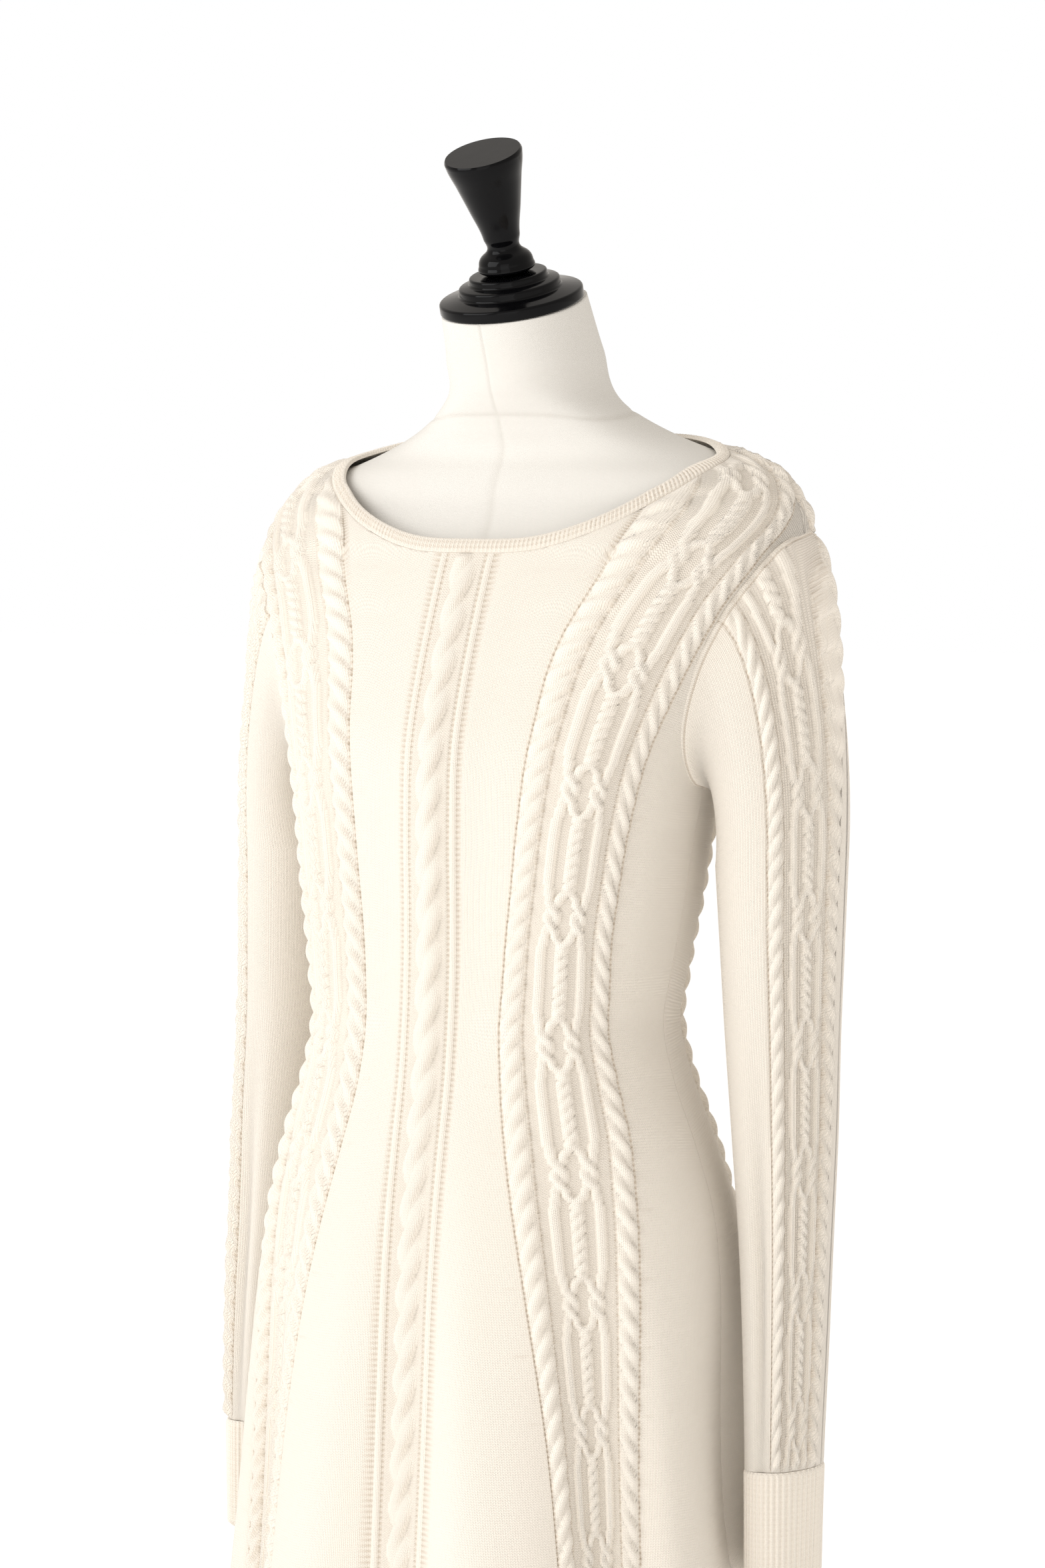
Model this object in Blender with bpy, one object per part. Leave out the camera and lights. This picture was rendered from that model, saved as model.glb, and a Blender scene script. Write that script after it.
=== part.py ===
"""Cable-knit sweater dress on a limbless dress form with a stand.

Metres, +Z up, the front of the dress towards -Y, the wearer's left towards +X.
The origin is the middle of the stand's foot, on the floor.
"""
import math

import bmesh
import bpy
import numpy as np

# ---------------------------------------------------------------- sizes
WALL = 0.0022                 # knitted cloth, under the cables
SEAM = 0.0003                 # gap between two pieces at a seam
ROW_STEP = 0.0271             # a third of one link of the chain cable
HEM = 0.280                   # height of the hem above the floor
ARMPIT = 1.150                # lowest point of the armhole
ARM_TOP = 1.3135              # highest point of the armhole, on the dropped shoulder
NECK_SIDE = 1.3677            # height of the neck edge on the shoulder seam
FRONT_DIP = 1.100             # above this height the rows bend down to the scoop neck
ARMHOLE_REACH = math.radians(28.9)
ARMHOLE_WIDEST = 0.634        # of its height: where the armhole reaches furthest in
ARMHOLE_LOW = 0.52            # powers that round its lower and upper ends
ARMHOLE_HIGH = 0.30
BAND_WIDTH = 0.0100           # ribbed band round the neck
NECK_HALF = 0.1430            # neck opening in plan: half width, front and back depths
NECK_MIDDLE = 0.0450
NECK_FRONT = 0.0790
NECK_BACK = 0.0850
NECK_POWER = 2.05
SQUARENESS = 0.04

# The dress over the form: heights, half widths and depths of its level sections.
SECTION_COLUMNS = ("height", "half_width", "side_y", "front_y", "back_y")
SECTIONS = np.array((
    (0.280, 0.2360, 0.018, -0.1900, 0.224),
    (0.450, 0.2080, 0.016, -0.1620, 0.194),
    (0.640, 0.1830, 0.014, -0.1380, 0.168),
    (0.760, 0.1720, 0.012, -0.1240, 0.150),
    (0.835, 0.1640, 0.011, -0.1150, 0.139),
    (0.878, 0.1570, 0.010, -0.1080, 0.130),
    (0.922, 0.1445, 0.008, -0.0990, 0.116),
    (0.965, 0.1300, 0.006, -0.0900, 0.102),
    (0.998, 0.1240, 0.005, -0.0860, 0.096),
    (1.030, 0.1290, 0.006, -0.0835, 0.099),
    (1.070, 0.1360, 0.009, -0.0825, 0.107),
    (1.126, 0.1430, 0.014, -0.0830, 0.118),
    (1.177, 0.1530, 0.021, -0.0800, 0.126),
    (1.227, 0.1735, 0.035, -0.0650, 0.132),
    (1.262, 0.1890, 0.046, -0.0510, 0.134),
    (1.291, 0.1985, 0.054, -0.0380, 0.134),
    (1.313, 0.1960, 0.061, -0.0270, 0.133),
    (1.339, 0.1830, 0.070, -0.0120, 0.132),
    (1.3565, 0.1600, 0.079, 0.0000, 0.131),
    (1.365, 0.1360, 0.084, 0.0060, 0.130),
    (1.380, 0.0960, 0.072, 0.0040, 0.125),
    (1.401, 0.0600, 0.053, -0.0060, 0.112),
    (1.430, 0.0530, 0.041, -0.0130, 0.095),
    (1.462, 0.0490, 0.027, -0.0220, 0.076),
))

# The cable panels, as angles from the centre line in degrees at each height.
PANEL_COLUMNS = ("height", "inner_line", "outer_line")
PANEL_LINES = np.array((
    (0.280, 38.0, 56.0),
    (0.640, 37.0, 56.0),
    (0.730, 34.0, 56.0),
    (0.830, 28.5, 57.5),
    (0.890, 25.0, 59.0),
    (0.935, 23.3, 61.0),
    (1.000, 22.7, 59.5),
    (1.060, 22.5, 55.5),
    (1.110, 23.6, 56.5),
    (1.190, 24.6, 59.2),
    (1.230, 23.8, 59.2),
    (1.252, 24.4, 59.4),
    (1.272, 26.0, 60.5),
    (1.290, 27.6, 64.0),
    (1.303, 29.0, 68.5),
    (1.319, 31.5, 79.0),
    (1.345, 38.0, 94.0),
    (1.366, 46.0, 102.0),
))
CENTRE_PANEL = 0.021          # half width of the centre cable panel

# Skirt folds: the panels lie in valleys between the plain gores.
FOLD_COLUMNS = ("height", "centre_valley", "side_valley", "gore")
FOLDS = np.array((
    (0.280, 0.026, 0.034, 0.012),
    (0.640, 0.014, 0.020, 0.008),
    (0.760, 0.009, 0.013, 0.005),
    (0.860, 0.004, 0.006, 0.002),
    (0.940, 0.000, 0.000, 0.000),
    (1.405, 0.000, 0.000, 0.000),
))
SLEEVE_DENT = 0.020           # the sleeves press the skirt in at the sides
DENT_HEIGHT = 0.672
DENT_SPREAD = 0.115

# The sleeve below its cap: level oval rings.
SLEEVE_COLUMNS = ("height", "middle_x", "middle_y", "half_x", "half_y")
SLEEVE = np.array((
    (0.636, 0.1985, 0.029, 0.0205, 0.0350),
    (0.715, 0.1985, 0.031, 0.0215, 0.0375),
    (0.790, 0.1975, 0.035, 0.0240, 0.0400),
    (0.857, 0.1950, 0.040, 0.0270, 0.0420),
    (0.922, 0.1920, 0.044, 0.0310, 0.0450),
    (1.000, 0.1880, 0.048, 0.0350, 0.0480),
    (1.050, 0.1865, 0.050, 0.0370, 0.0520),
    (1.100, 0.1850, 0.052, 0.0390, 0.0560),
))
CAP_END = 1.100
CUFF_TOP = 0.7140
CUFF_END = 0.6420
SLOPE_STEP = 0.001            # the drop over which a ring's slope is read
CAP_BULGE = 0.012             # the sleeve's head stands out over the shoulder point
CAP_LEAVE = 0.012             # the sleeve first runs this far across the armhole
CAP_STAND = 0.0075            # and stands off it by this much
CAP_RISE = 0.62               # of its height above the level rings: where a line has turned down
UNDERARM_PUSH = 0.013         # the lines stand off the side under the arm
CAP_STEPS = (0.0, 0.10, 0.22, 0.36, 0.50, 0.66, 0.82, 1.0)
# The right sleeve hangs closer and slimmer: how far its rings' middle and half width draw in.
CLOSE_COLUMNS = ("height", "inward", "slimmer")
CLOSE = np.array(((0.640, 0.0040, 0.000), (0.850, 0.0040, 0.000), (1.000, 0.0060, 0.003),
                  (1.100, 0.0070, 0.005)))

# The form under the dress, inside it by these distances.
INSET_COLUMNS = ("height", "inset")
INSETS = np.array((
    (0.700, 0.0450), (0.860, 0.0240), (0.930, 0.0130), (1.000, 0.0075), (1.070, 0.0070),
    (1.130, 0.0070), (1.200, 0.0120), (1.250, 0.0180), (1.290, 0.0160), (1.313, 0.0145),
    (1.333, 0.0130), (1.345, 0.0080), (1.362, 0.0052), (1.385, 0.0042), (1.462, 0.0030),
))
SEAT = 0.0022                 # the shoulders stand up by this to carry the dress
SEAT_HEIGHT = 1.352
LEVEL_BELOW = 1.200           # the torso's rings are level below this height
FORM_BOTTOM = 0.740
NECK_TILT = math.radians(17.0)
CAP_MIDDLE = (0.0, 0.0245, 1.4620)
CAP_PROFILE = ((0.0470, 0.0000), (0.0475, 0.0012), (0.0475, 0.0068), (0.0460, 0.0088),
               (0.0330, 0.0094), (0.0330, 0.0148), (0.0318, 0.0162), (0.0255, 0.0166),
               (0.0255, 0.0205), (0.0245, 0.0216))
FINIAL_COLUMNS = ("along", "radius", "lean_degrees")
FINIAL = np.array((
    (0.0000, 0.0125, 17.0), (0.0015, 0.0165, 17.0), (0.0070, 0.0180, 17.5), (0.0120, 0.0160, 18.0),
    (0.0155, 0.0118, 19.0), (0.0250, 0.0122, 22.0), (0.0450, 0.0170, 25.0), (0.0640, 0.0218, 26.0),
    (0.0790, 0.0256, 26.0), (0.0815, 0.0258, 26.0), (0.0830, 0.0250, 26.0),
))
POLE_RADIUS = 0.0125
BASE_PROFILE = ((0.1500, 0.0000), (0.1500, 0.0080), (0.1440, 0.0120), (0.0450, 0.0170), (0.0220, 0.0230))

CREAM = (0.88, 0.80, 0.68)
CANVAS = (0.80, 0.77, 0.71)
BLACK = (0.010, 0.010, 0.011)
STEEL = (0.03, 0.03, 0.032)


# ---------------------------------------------------------------- tools
def smooth(table, column, at):
    """A smooth curve through one column of a table, read at the given heights."""
    where = np.asarray(at, float)
    knots = table[:, 0]
    values = table[:, column]
    slopes = np.gradient(values, knots)
    k = np.clip(np.searchsorted(knots, where) - 1, 0, len(knots) - 2)
    span = knots[k + 1] - knots[k]
    t = np.clip((where - knots[k]) / span, 0.0, 1.0)
    rise = t * t * (3.0 - 2.0 * t)
    start = t * (1.0 - t) ** 2 * span * slopes[k]
    end = t * t * (1.0 - t) * span * slopes[k + 1]
    return values[k] * (1.0 - rise) + values[k + 1] * rise + start - end


def hill(x):
    """A soft hill, 1 in the middle and 0 past one half width."""
    return np.where(np.abs(x) < 1.0, 0.5 + 0.5 * np.cos(np.pi * np.clip(x, -1.0, 1.0)), 0.0)


def from_centre(phi):
    """The angle from the centre line of the front or the back, always positive."""
    return np.pi / 2.0 - np.abs((np.abs(phi) + np.pi / 2.0) % np.pi - np.pi / 2.0)


def folds(phi, z):
    """How far the skirt's surface stands out, or in, from its plain section."""
    away = from_centre(phi)
    inner = np.radians(smooth(PANEL_LINES, 1, z))
    outer = np.radians(smooth(PANEL_LINES, 2, z))
    middle = 0.5 * (inner + outer)
    valley = smooth(FOLDS, 1, z) * hill(away / np.radians(17.0))
    valley = valley + smooth(FOLDS, 2, z) * hill((away - middle) / np.radians(19.0))
    gore = smooth(FOLDS, 3, z) * (hill((away - 0.5 * inner) / np.radians(14.0)) + hill((away - 1.4) / 0.45))
    dent = SLEEVE_DENT * hill((z - DENT_HEIGHT) / (2.0 * DENT_SPREAD)) * hill((away - np.pi / 2.0) / 0.55)
    return gore - valley - dent


def body(phi, z, inset=0.0, folded=True):
    """A point of the dress's surface: a squarish oval section at height z, read at angle phi."""
    half = smooth(SECTIONS, 1, z)
    side = smooth(SECTIONS, 2, z)
    front = side - smooth(SECTIONS, 3, z)
    back = smooth(SECTIONS, 4, z) - side
    c = np.cos(phi)
    s = np.sin(phi)
    depth = np.where(s < 0.0, front, back)
    swell = 1.0 + SQUARENESS * np.sin(2.0 * phi) ** 2
    out = folds(phi, z) if folded else 0.0
    x = (half * swell + out) * c
    y = side + (depth * swell + out) * s
    point = np.stack([x, y, z + 0.0 * phi], -1)
    if np.any(inset):
        point = point - np.asarray(inset)[..., None] * body_normal(phi, z, folded)
    return point


def body_normal(phi, z, folded=True):
    """The outward normal of the dress's surface, from small steps round and up."""
    step = 1e-4
    around = body(phi + step, z, folded=folded) - body(phi - step, z, folded=folded)
    up = body(phi, z + step, folded=folded) - body(phi, z - step, folded=folded)
    normal = np.cross(around, up)
    return normal / np.linalg.norm(normal, axis=-1, keepdims=True)


def neck_height(phi):
    """The height at which the surface meets the upright squarish tube of the neck opening."""
    low = np.full_like(phi, 1.28)
    high = np.full_like(phi, 1.384)
    for _ in range(40):
        middle = 0.5 * (low + high)
        point = body(phi, middle)
        y = point[..., 1] - NECK_MIDDLE
        depth = np.where(y < 0.0, NECK_FRONT, NECK_BACK)
        outside = np.abs(point[..., 0] / NECK_HALF) ** NECK_POWER + np.abs(y / depth) ** NECK_POWER > 1.0
        low = np.where(outside, middle, low)
        high = np.where(outside, high, middle)
    return 0.5 * (low + high)


def armhole_edge(z):
    """The armhole's half opening, as an angle from the side line."""
    u = np.clip((z - ARMPIT) / (ARM_TOP - ARMPIT), 0.0, 1.0)
    rise = (u / ARMHOLE_WIDEST) ** ARMHOLE_LOW
    fall = ((1.0 - u) / (1.0 - ARMHOLE_WIDEST)) ** ARMHOLE_HIGH
    return ARMHOLE_REACH * rise * fall


def body_rows():
    """Heights of the rows on the side line, with one row at each end of the armhole."""
    below = int(round((ARMPIT - HEM) / ROW_STEP))
    beside = 8
    above = 7
    return np.concatenate([
        np.linspace(HEM, ARMPIT, below + 1)[:-1],
        np.linspace(ARMPIT, ARM_TOP, beside + 1)[:-1],
        np.linspace(ARM_TOP, NECK_SIDE, above + 1),
    ])


def rows_to_heights(phi, rows):
    """Rows are level low down and bend to end along the neck edge."""
    lift = np.clip((rows - FRONT_DIP) / (NECK_SIDE - FRONT_DIP), 0.0, 1.0)
    lift = lift * lift * (3.0 - 2.0 * lift)
    return rows + (neck_height(phi) - NECK_SIDE) * lift


# ---------------------------------------------------------------- cable pattern
# One half of a panelled piece, from its centre line outwards. A column's place is a
# fraction of its zone; its form says how high the knit stands there.
FRONT_COLUMNS = (
    ("centre", 0.00, "rope"), ("centre", 0.45, "low"), ("centre", 0.72, "groove"), ("centre", 1.00, "groove"),
    ("plain", 0.25, "flat"), ("plain", 0.50, "flat"), ("plain", 0.78, "flat"),
    ("panel", 0.00, "groove"), ("panel", 0.05, "low"), ("panel", 0.12, "rope"), ("panel", 0.21, "ground"),
    ("link", -1.0, "edge_out"), ("link", -1.0, "strand"), ("link", -1.0, "edge_in"),
    ("link", 0.0, "twist"),
    ("link", 1.0, "edge_in"), ("link", 1.0, "strand"), ("link", 1.0, "edge_out"),
    ("panel", 0.80, "ground"), ("panel", 0.88, "rope"), ("panel", 0.95, "low"), ("panel", 1.00, "groove"),
    ("side", 0.50, "flat"), ("side", 1.00, "flat"),
)
BACK_COLUMNS = (
    ("centre", 0.00, "rope"), ("centre", 0.45, "low"), ("centre", 1.00, "groove"),
    ("plain", 0.50, "flat"),
    ("panel", 0.00, "groove"), ("panel", 0.12, "rope"), ("panel", 0.21, "ground"),
    ("link", -1.0, "strand"), ("link", -1.0, "edge_in"),
    ("link", 0.0, "twist"),
    ("link", 1.0, "edge_in"), ("link", 1.0, "strand"),
    ("panel", 0.80, "ground"), ("panel", 0.88, "rope"), ("panel", 1.00, "groove"),
    ("side", 0.50, "flat"), ("side", 1.00, "flat"),
)
HEIGHTS = {
    "flat": 0.0, "groove": -0.0006, "low": 0.0003, "ground": -0.0005, "rope": 0.0024,
    "twist": 0.0022, "strand": 0.0020, "edge_in": -0.0004, "edge_out": -0.0004,
}
LINK_ROWS = 3
LINK_BOW = (0.055, 0.16, 0.16)            # a strand's distance from the panel's middle, by row
STRAND_EDGE = 0.045


def column_place(column, row, z, side_end):
    """Angle from the centre line of one column at each row of the panelled piece."""
    zone, at, form = column
    half = smooth(SECTIONS, 1, z)
    centre = CENTRE_PANEL / half
    inner = np.radians(smooth(PANEL_LINES, 1, z))
    outer = np.minimum(np.radians(smooth(PANEL_LINES, 2, z)), side_end - 0.03)
    inner = np.minimum(inner, outer - 0.25)
    if zone == "centre":
        return at * centre
    if zone == "plain":
        return centre + at * (inner - centre)
    if zone == "side":
        return outer + at * (side_end - outer)
    if zone == "panel":
        return inner + at * (outer - inner)
    bow = np.array(LINK_BOW)[row % LINK_ROWS]
    shift = {"edge_out": STRAND_EDGE, "edge_in": -STRAND_EDGE}.get(form, 0.0)
    return inner + (0.5 + at * (bow + shift)) * (outer - inner)


def column_height(column, row, count):
    """How high a column stands at each row; ropes rise and fall from row to row."""
    zone, at, form = column
    height = np.full(count, HEIGHTS[form])
    if form in ("rope", "twist"):
        height = np.where(row % 2 == 0, height, 0.45 * height)
    if form == "strand":
        height = np.where(row % LINK_ROWS == 0, 0.7 * height, height)
    ends = (row == 0) | (row == count - 1)
    return np.where(ends, 0.0, height)


def side_gap(z, front):
    """Half of the gap at the side seam, as an angle."""
    edge = smooth(SECTIONS, 3 if front else 4, z)
    return 0.9 * SEAM / np.abs(edge - smooth(SECTIONS, 2, z))


def panelled_grid(columns, front):
    """Outer points of the front or the back, and the same points on the plain inside."""
    rows = body_rows()
    count = len(rows)
    index = np.arange(count)[::-1]
    turn = -1.0 if front else 1.0
    side_end = np.pi / 2.0 - side_gap(rows, front) - armhole_edge(rows)
    mirrored = [(column, -1.0) for column in columns[:0:-1]] + [(column, 1.0) for column in columns]
    outer = []
    plain = []
    neck_angles = []
    for column, hand in mirrored:
        z = rows.copy()
        for _ in range(3):
            away = column_place(column, index, z, side_end)
            phi = turn * np.pi / 2.0 + hand * away * (1.0 if front else -1.0)
            z = rows_to_heights(phi, rows)
        height = column_height(column, index, count)
        on_edge = column[0] == "side" and column[1] == 1.0
        point = body(phi, z)
        normal = body_normal(phi, z)
        lift = np.zeros(count) if on_edge else height
        outer.append(point + lift[:, None] * normal)
        plain.append(point - WALL * normal)
        neck_angles.append(phi[-1])
    return np.array(outer), np.array(plain), np.array(neck_angles)


# ---------------------------------------------------------------- meshes
def new_object(name, verts, faces, colour, roughness, metallic=0.0, smooth_angle=40.0):
    """One closed body with its own material and outward faces."""
    mesh = bpy.data.meshes.new(name)
    mesh.from_pydata([tuple(map(float, v)) for v in verts], [], faces)
    work = bmesh.new()
    work.from_mesh(mesh)
    bmesh.ops.triangulate(work, faces=work.faces[:])
    bmesh.ops.recalc_face_normals(work, faces=work.faces[:])
    if work.calc_volume(signed=True) < 0.0:
        bmesh.ops.reverse_faces(work, faces=work.faces[:])
    work.to_mesh(mesh)
    work.free()
    material = bpy.data.materials.new(name + "_finish")
    material.use_nodes = True
    shader = material.node_tree.nodes["Principled BSDF"]
    shader.inputs["Base Color"].default_value = (*colour, 1.0)
    shader.inputs["Roughness"].default_value = roughness
    shader.inputs["Metallic"].default_value = metallic
    mesh.materials.append(material)
    mesh.shade_smooth()
    mesh.set_sharp_from_angle(angle=math.radians(smooth_angle))
    thing = bpy.data.objects.new(name, mesh)
    bpy.context.scene.collection.objects.link(thing)
    return thing


def cloth(name, outer, inner, across, along, closed, colour=CREAM):
    """A cloth wall: a fine outer grid, a coarser inner grid and edges that join the two.

    outer and inner are grids of points, [column, row]; across and along list the columns and
    rows that the inner grid keeps; closed says that the columns run round a tube."""
    n_col, n_row = outer.shape[:2]
    verts = [p for line in outer for p in line]
    outside = np.arange(n_col * n_row).reshape(n_col, n_row)
    inside = np.empty((len(across), len(along)), int)
    for i, c in enumerate(across):
        for j, r in enumerate(along):
            inside[i, j] = len(verts)
            verts.append(inner[c, r])
    faces = []

    def quads(grid, wrap):
        last = len(grid) if wrap else len(grid) - 1
        for i in range(last):
            k = (i + 1) % len(grid)
            for j in range(grid.shape[1] - 1):
                faces.append((grid[i, j], grid[k, j], grid[k, j + 1]))
                faces.append((grid[i, j], grid[k, j + 1], grid[i, j + 1]))

    def strip(fine, kept, coarse):
        for i in range(len(kept) - 1):
            for k in range(kept[i], kept[i + 1]):
                faces.append((coarse[i], fine[k], fine[k + 1]))
            faces.append((coarse[i], fine[kept[i + 1]], coarse[i + 1]))

    quads(outside, closed)
    quads(inside, closed)
    for edge in (0, -1):
        ring = outside[:, edge]
        own = inside[:, edge]
        kept = list(across)
        if closed:
            ring = np.append(ring, ring[0])
            own = np.append(own, own[0])
            kept = kept + [n_col]
        strip(ring, kept, own)
    if not closed:
        for edge in (0, -1):
            strip(outside[edge], along, inside[edge])
    return new_object(name, verts, faces, colour, 0.9)


def stack(name, rings, colour, roughness, metallic=0.0, smooth_angle=40.0):
    """A solid of stacked rings, closed by a flat cap at each end."""
    count = len(rings[0])
    verts = [p for ring in rings for p in ring]
    faces = []
    for k in range(len(rings) - 1):
        for i in range(count):
            j = (i + 1) % count
            faces.append((k * count + i, k * count + j, (k + 1) * count + j, (k + 1) * count + i))
    faces.append(tuple(range(count))[::-1])
    faces.append(tuple(range((len(rings) - 1) * count, len(rings) * count)))
    return new_object(name, verts, faces, colour, roughness, metallic, smooth_angle)


# ---------------------------------------------------------------- pieces
def kept_columns(count):
    """The columns that a panelled piece's plain inside keeps."""
    return [0] + list(range(1, count - 1, 2)) + [count - 1]


def make_front_and_back():
    """The two long panels; returns their armhole edges, outer and inner, for the sleeves."""
    edges = {}
    for name, columns, front in (("front", FRONT_COLUMNS, True), ("back", BACK_COLUMNS, False)):
        outer, inner, neck_angles = panelled_grid(columns, front)
        keep = kept_columns(2 * len(columns) - 1)
        rows = body_rows()
        armpit_row = int(np.argmin(np.abs(rows - ARMPIT)))
        along = sorted(set(list(range(0, armpit_row, 3)) + list(range(armpit_row, len(rows)))))
        cloth(name, outer, inner, keep, along, closed=False)
        edges[name] = (outer, inner, neck_angles)
    return edges


def armhole_loop(edges, hand):
    """The armhole's corners from its top, down the front and up the back, outer and inner."""
    rows = body_rows()
    first = int(np.argmin(np.abs(rows - ARMPIT)))
    last = int(np.argmin(np.abs(rows - ARM_TOP)))
    column = -1 if hand > 0 else 0
    loops = []
    for layer in (0, 1):
        down = edges["front"][layer][column][first:last + 1][::-1]
        up = edges["back"][layer][column][first:last + 1]
        top = 0.5 * (down[0] + up[-1])
        bottom = 0.5 * (down[-1] + up[0])
        loops.append(np.vstack([top, down[1:-1], bottom, up[1:-1]]))
    return loops


def loop_at(loop, place):
    """A point of the armhole, counted in its corners from the top, down the front."""
    count = len(loop)
    k = np.floor(place).astype(int)
    t = (place - k)[..., None]
    return loop[k % count] * (1.0 - t) + loop[(k + 1) % count] * t


def sleeve_ring(psi, z, thick, hand):
    """A point of the sleeve's level oval ring; psi runs from the outside to the front."""
    closer = 1.0 if hand < 0.0 else 0.0
    half_x = smooth(SLEEVE, 3, z) - closer * smooth(CLOSE, 2, z) - thick
    x = smooth(SLEEVE, 1, z) - closer * smooth(CLOSE, 1, z) + half_x * np.cos(psi)
    y = smooth(SLEEVE, 2, z) - (smooth(SLEEVE, 4, z) - thick) * np.sin(psi)
    return np.stack([hand * x, y, z + 0.0 * psi], -1)


# The front half of the sleeve, from its top line: one column each half corner of the armhole.
SLEEVE_FORMS = ("groove", "rope", "strand", "twist", "strand", "rope", "groove") + ("flat",) * 9


def make_sleeves(edges):
    """Each sleeve grows from the armhole into level rings, with a cable panel outside."""
    cap_rows = len(CAP_STEPS) - 1
    below = int(round((CAP_END - CUFF_TOP) / ROW_STEP))
    for side, hand in (("left", 1.0), ("right", -1.0)):
        outer_loop, inner_loop = armhole_loop(edges, hand)
        corners = len(outer_loop)
        half = corners // 2
        place = np.concatenate([np.arange(0.0, half, 0.5), np.arange(half, corners, 1.0)])
        psi = 2.0 * np.pi * place / corners
        forms = list(SLEEVE_FORMS) + ["flat"] * (len(place) - len(SLEEVE_FORMS))
        start_ring = loop_at(outer_loop, place)
        start_inner = loop_at(inner_loop, place)
        away_from_body = start_ring - start_inner
        away_from_body /= np.linalg.norm(away_from_body, axis=-1, keepdims=True)
        inward = start_ring.mean(axis=0) - start_ring
        inward /= np.linalg.norm(inward, axis=-1, keepdims=True)
        start_ring = start_ring + 2.2 * SEAM * inward
        start_inner = start_inner + 2.2 * SEAM * inward
        end_ring = sleeve_ring(psi, np.full_like(psi, CAP_END), 0.0, hand)
        under = (0.5 - 0.5 * np.cos(psi))[:, None]
        leave = start_ring + CAP_LEAVE * inward + CAP_STAND * away_from_body
        leave[:, 0] += hand * CAP_BULGE * np.maximum(np.cos(psi), 0.0)
        lower = sleeve_ring(psi, np.full_like(psi, CAP_END - SLOPE_STEP), 0.0, hand)
        rise = CAP_RISE * (start_ring[:, 2:] - CAP_END)
        pass_by = end_ring + rise * (end_ring - lower) / SLOPE_STEP + UNDERARM_PUSH * under * away_from_body
        lines = []
        for t in CAP_STEPS:
            s = 1.0 - t
            lines.append(s ** 3 * start_ring + 3.0 * s * s * t * leave + 3.0 * s * t * t * pass_by + t ** 3 * end_ring)
        for k in range(1, below + 1):
            z = CAP_END + (CUFF_TOP - CAP_END) * k / below
            lines.append(sleeve_ring(psi, np.full_like(psi, z), 0.0, hand))
        outer = np.array(lines).transpose(1, 0, 2)
        around = np.roll(outer, -1, axis=0) - np.roll(outer, 1, axis=0)
        normal = hand * np.cross(np.gradient(outer, axis=1), around)
        normal /= np.linalg.norm(normal, axis=-1, keepdims=True)
        inner = outer - WALL * normal
        inner[:, 0] = start_inner
        count = outer.shape[1]
        index = np.arange(count)
        for c, form in enumerate(forms):
            height = column_height(("", 0.0, form), index, count)
            outer[c] += height[:, None] * normal[c]
        across = [c for c in range(len(place)) if place[c] == int(place[c])]
        along = sorted(set(list(range(cap_rows + 1)) + list(range(cap_rows, count, 4)) + [count - 1]))
        cloth("sleeve_" + side, outer, inner, across, along, closed=True)
        make_cuff("cuff_" + side, hand)


def make_cuff(name, hand):
    """A ribbed band at the sleeve's end: ribs stand out along it."""
    ribs = 18
    psi = np.arange(2 * ribs) * np.pi / ribs
    heights = np.array([CUFF_TOP - SEAM, CUFF_TOP - 0.004, CUFF_END + 0.003, CUFF_END])
    rib = np.where(np.arange(2 * ribs) % 2 == 0, 0.0010, 0.0)
    outer = []
    inner = []
    for k, z in enumerate(heights):
        level = np.full_like(psi, z)
        raised = rib if 0 < k < 3 else 0.0
        outer.append(sleeve_ring(psi, level, -raised, hand))
        inner.append(sleeve_ring(psi, level, WALL, hand))
    outer = np.array(outer).transpose(1, 0, 2)
    inner = np.array(inner).transpose(1, 0, 2)
    cloth(name, outer, inner, list(range(0, 2 * ribs, 2)), [0, 3], closed=True)


def make_neckband(edges):
    """A narrow ribbed band that carries on the surface past the neck edge."""
    front = edges["front"][2]
    back = edges["back"][2]
    phi = np.concatenate([front, back[::-1]])
    kept = kept_columns(len(front)) + [len(front) + len(back) - 1 - c for c in kept_columns(len(back))][::-1]
    edge = neck_height(phi)
    seam_line = body(phi, edge)
    up = (body(phi, edge + 0.001) - seam_line) / 0.001
    span = np.linalg.norm(up, axis=-1)
    along = np.roll(seam_line, -1, axis=0) - np.roll(seam_line, 1, axis=0)
    along /= np.linalg.norm(along, axis=-1, keepdims=True)
    square = np.linalg.norm(np.cross(up, along), axis=-1) / span
    gap = 4.0 * SEAM / np.maximum(square, 0.2)
    rib = np.where(np.arange(len(phi)) % 2 == 0, 0.0008, 0.0002)
    outer = []
    inner = []
    for k, at in enumerate((0.0, 0.0015, BAND_WIDTH - 0.0015, BAND_WIDTH)):
        z = edge + (gap + at) / span
        normal = body_normal(phi, edge if k == 0 else z)
        raised = rib if k in (1, 2) else 0.0 * rib
        outer.append(body(phi, z) + raised[:, None] * normal)
        inner.append(body(phi, z) - WALL * normal)
    outer = np.array(outer).transpose(1, 0, 2)
    inner = np.array(inner).transpose(1, 0, 2)
    cloth("neckband", outer, inner, kept, [0, 3], closed=True)


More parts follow.
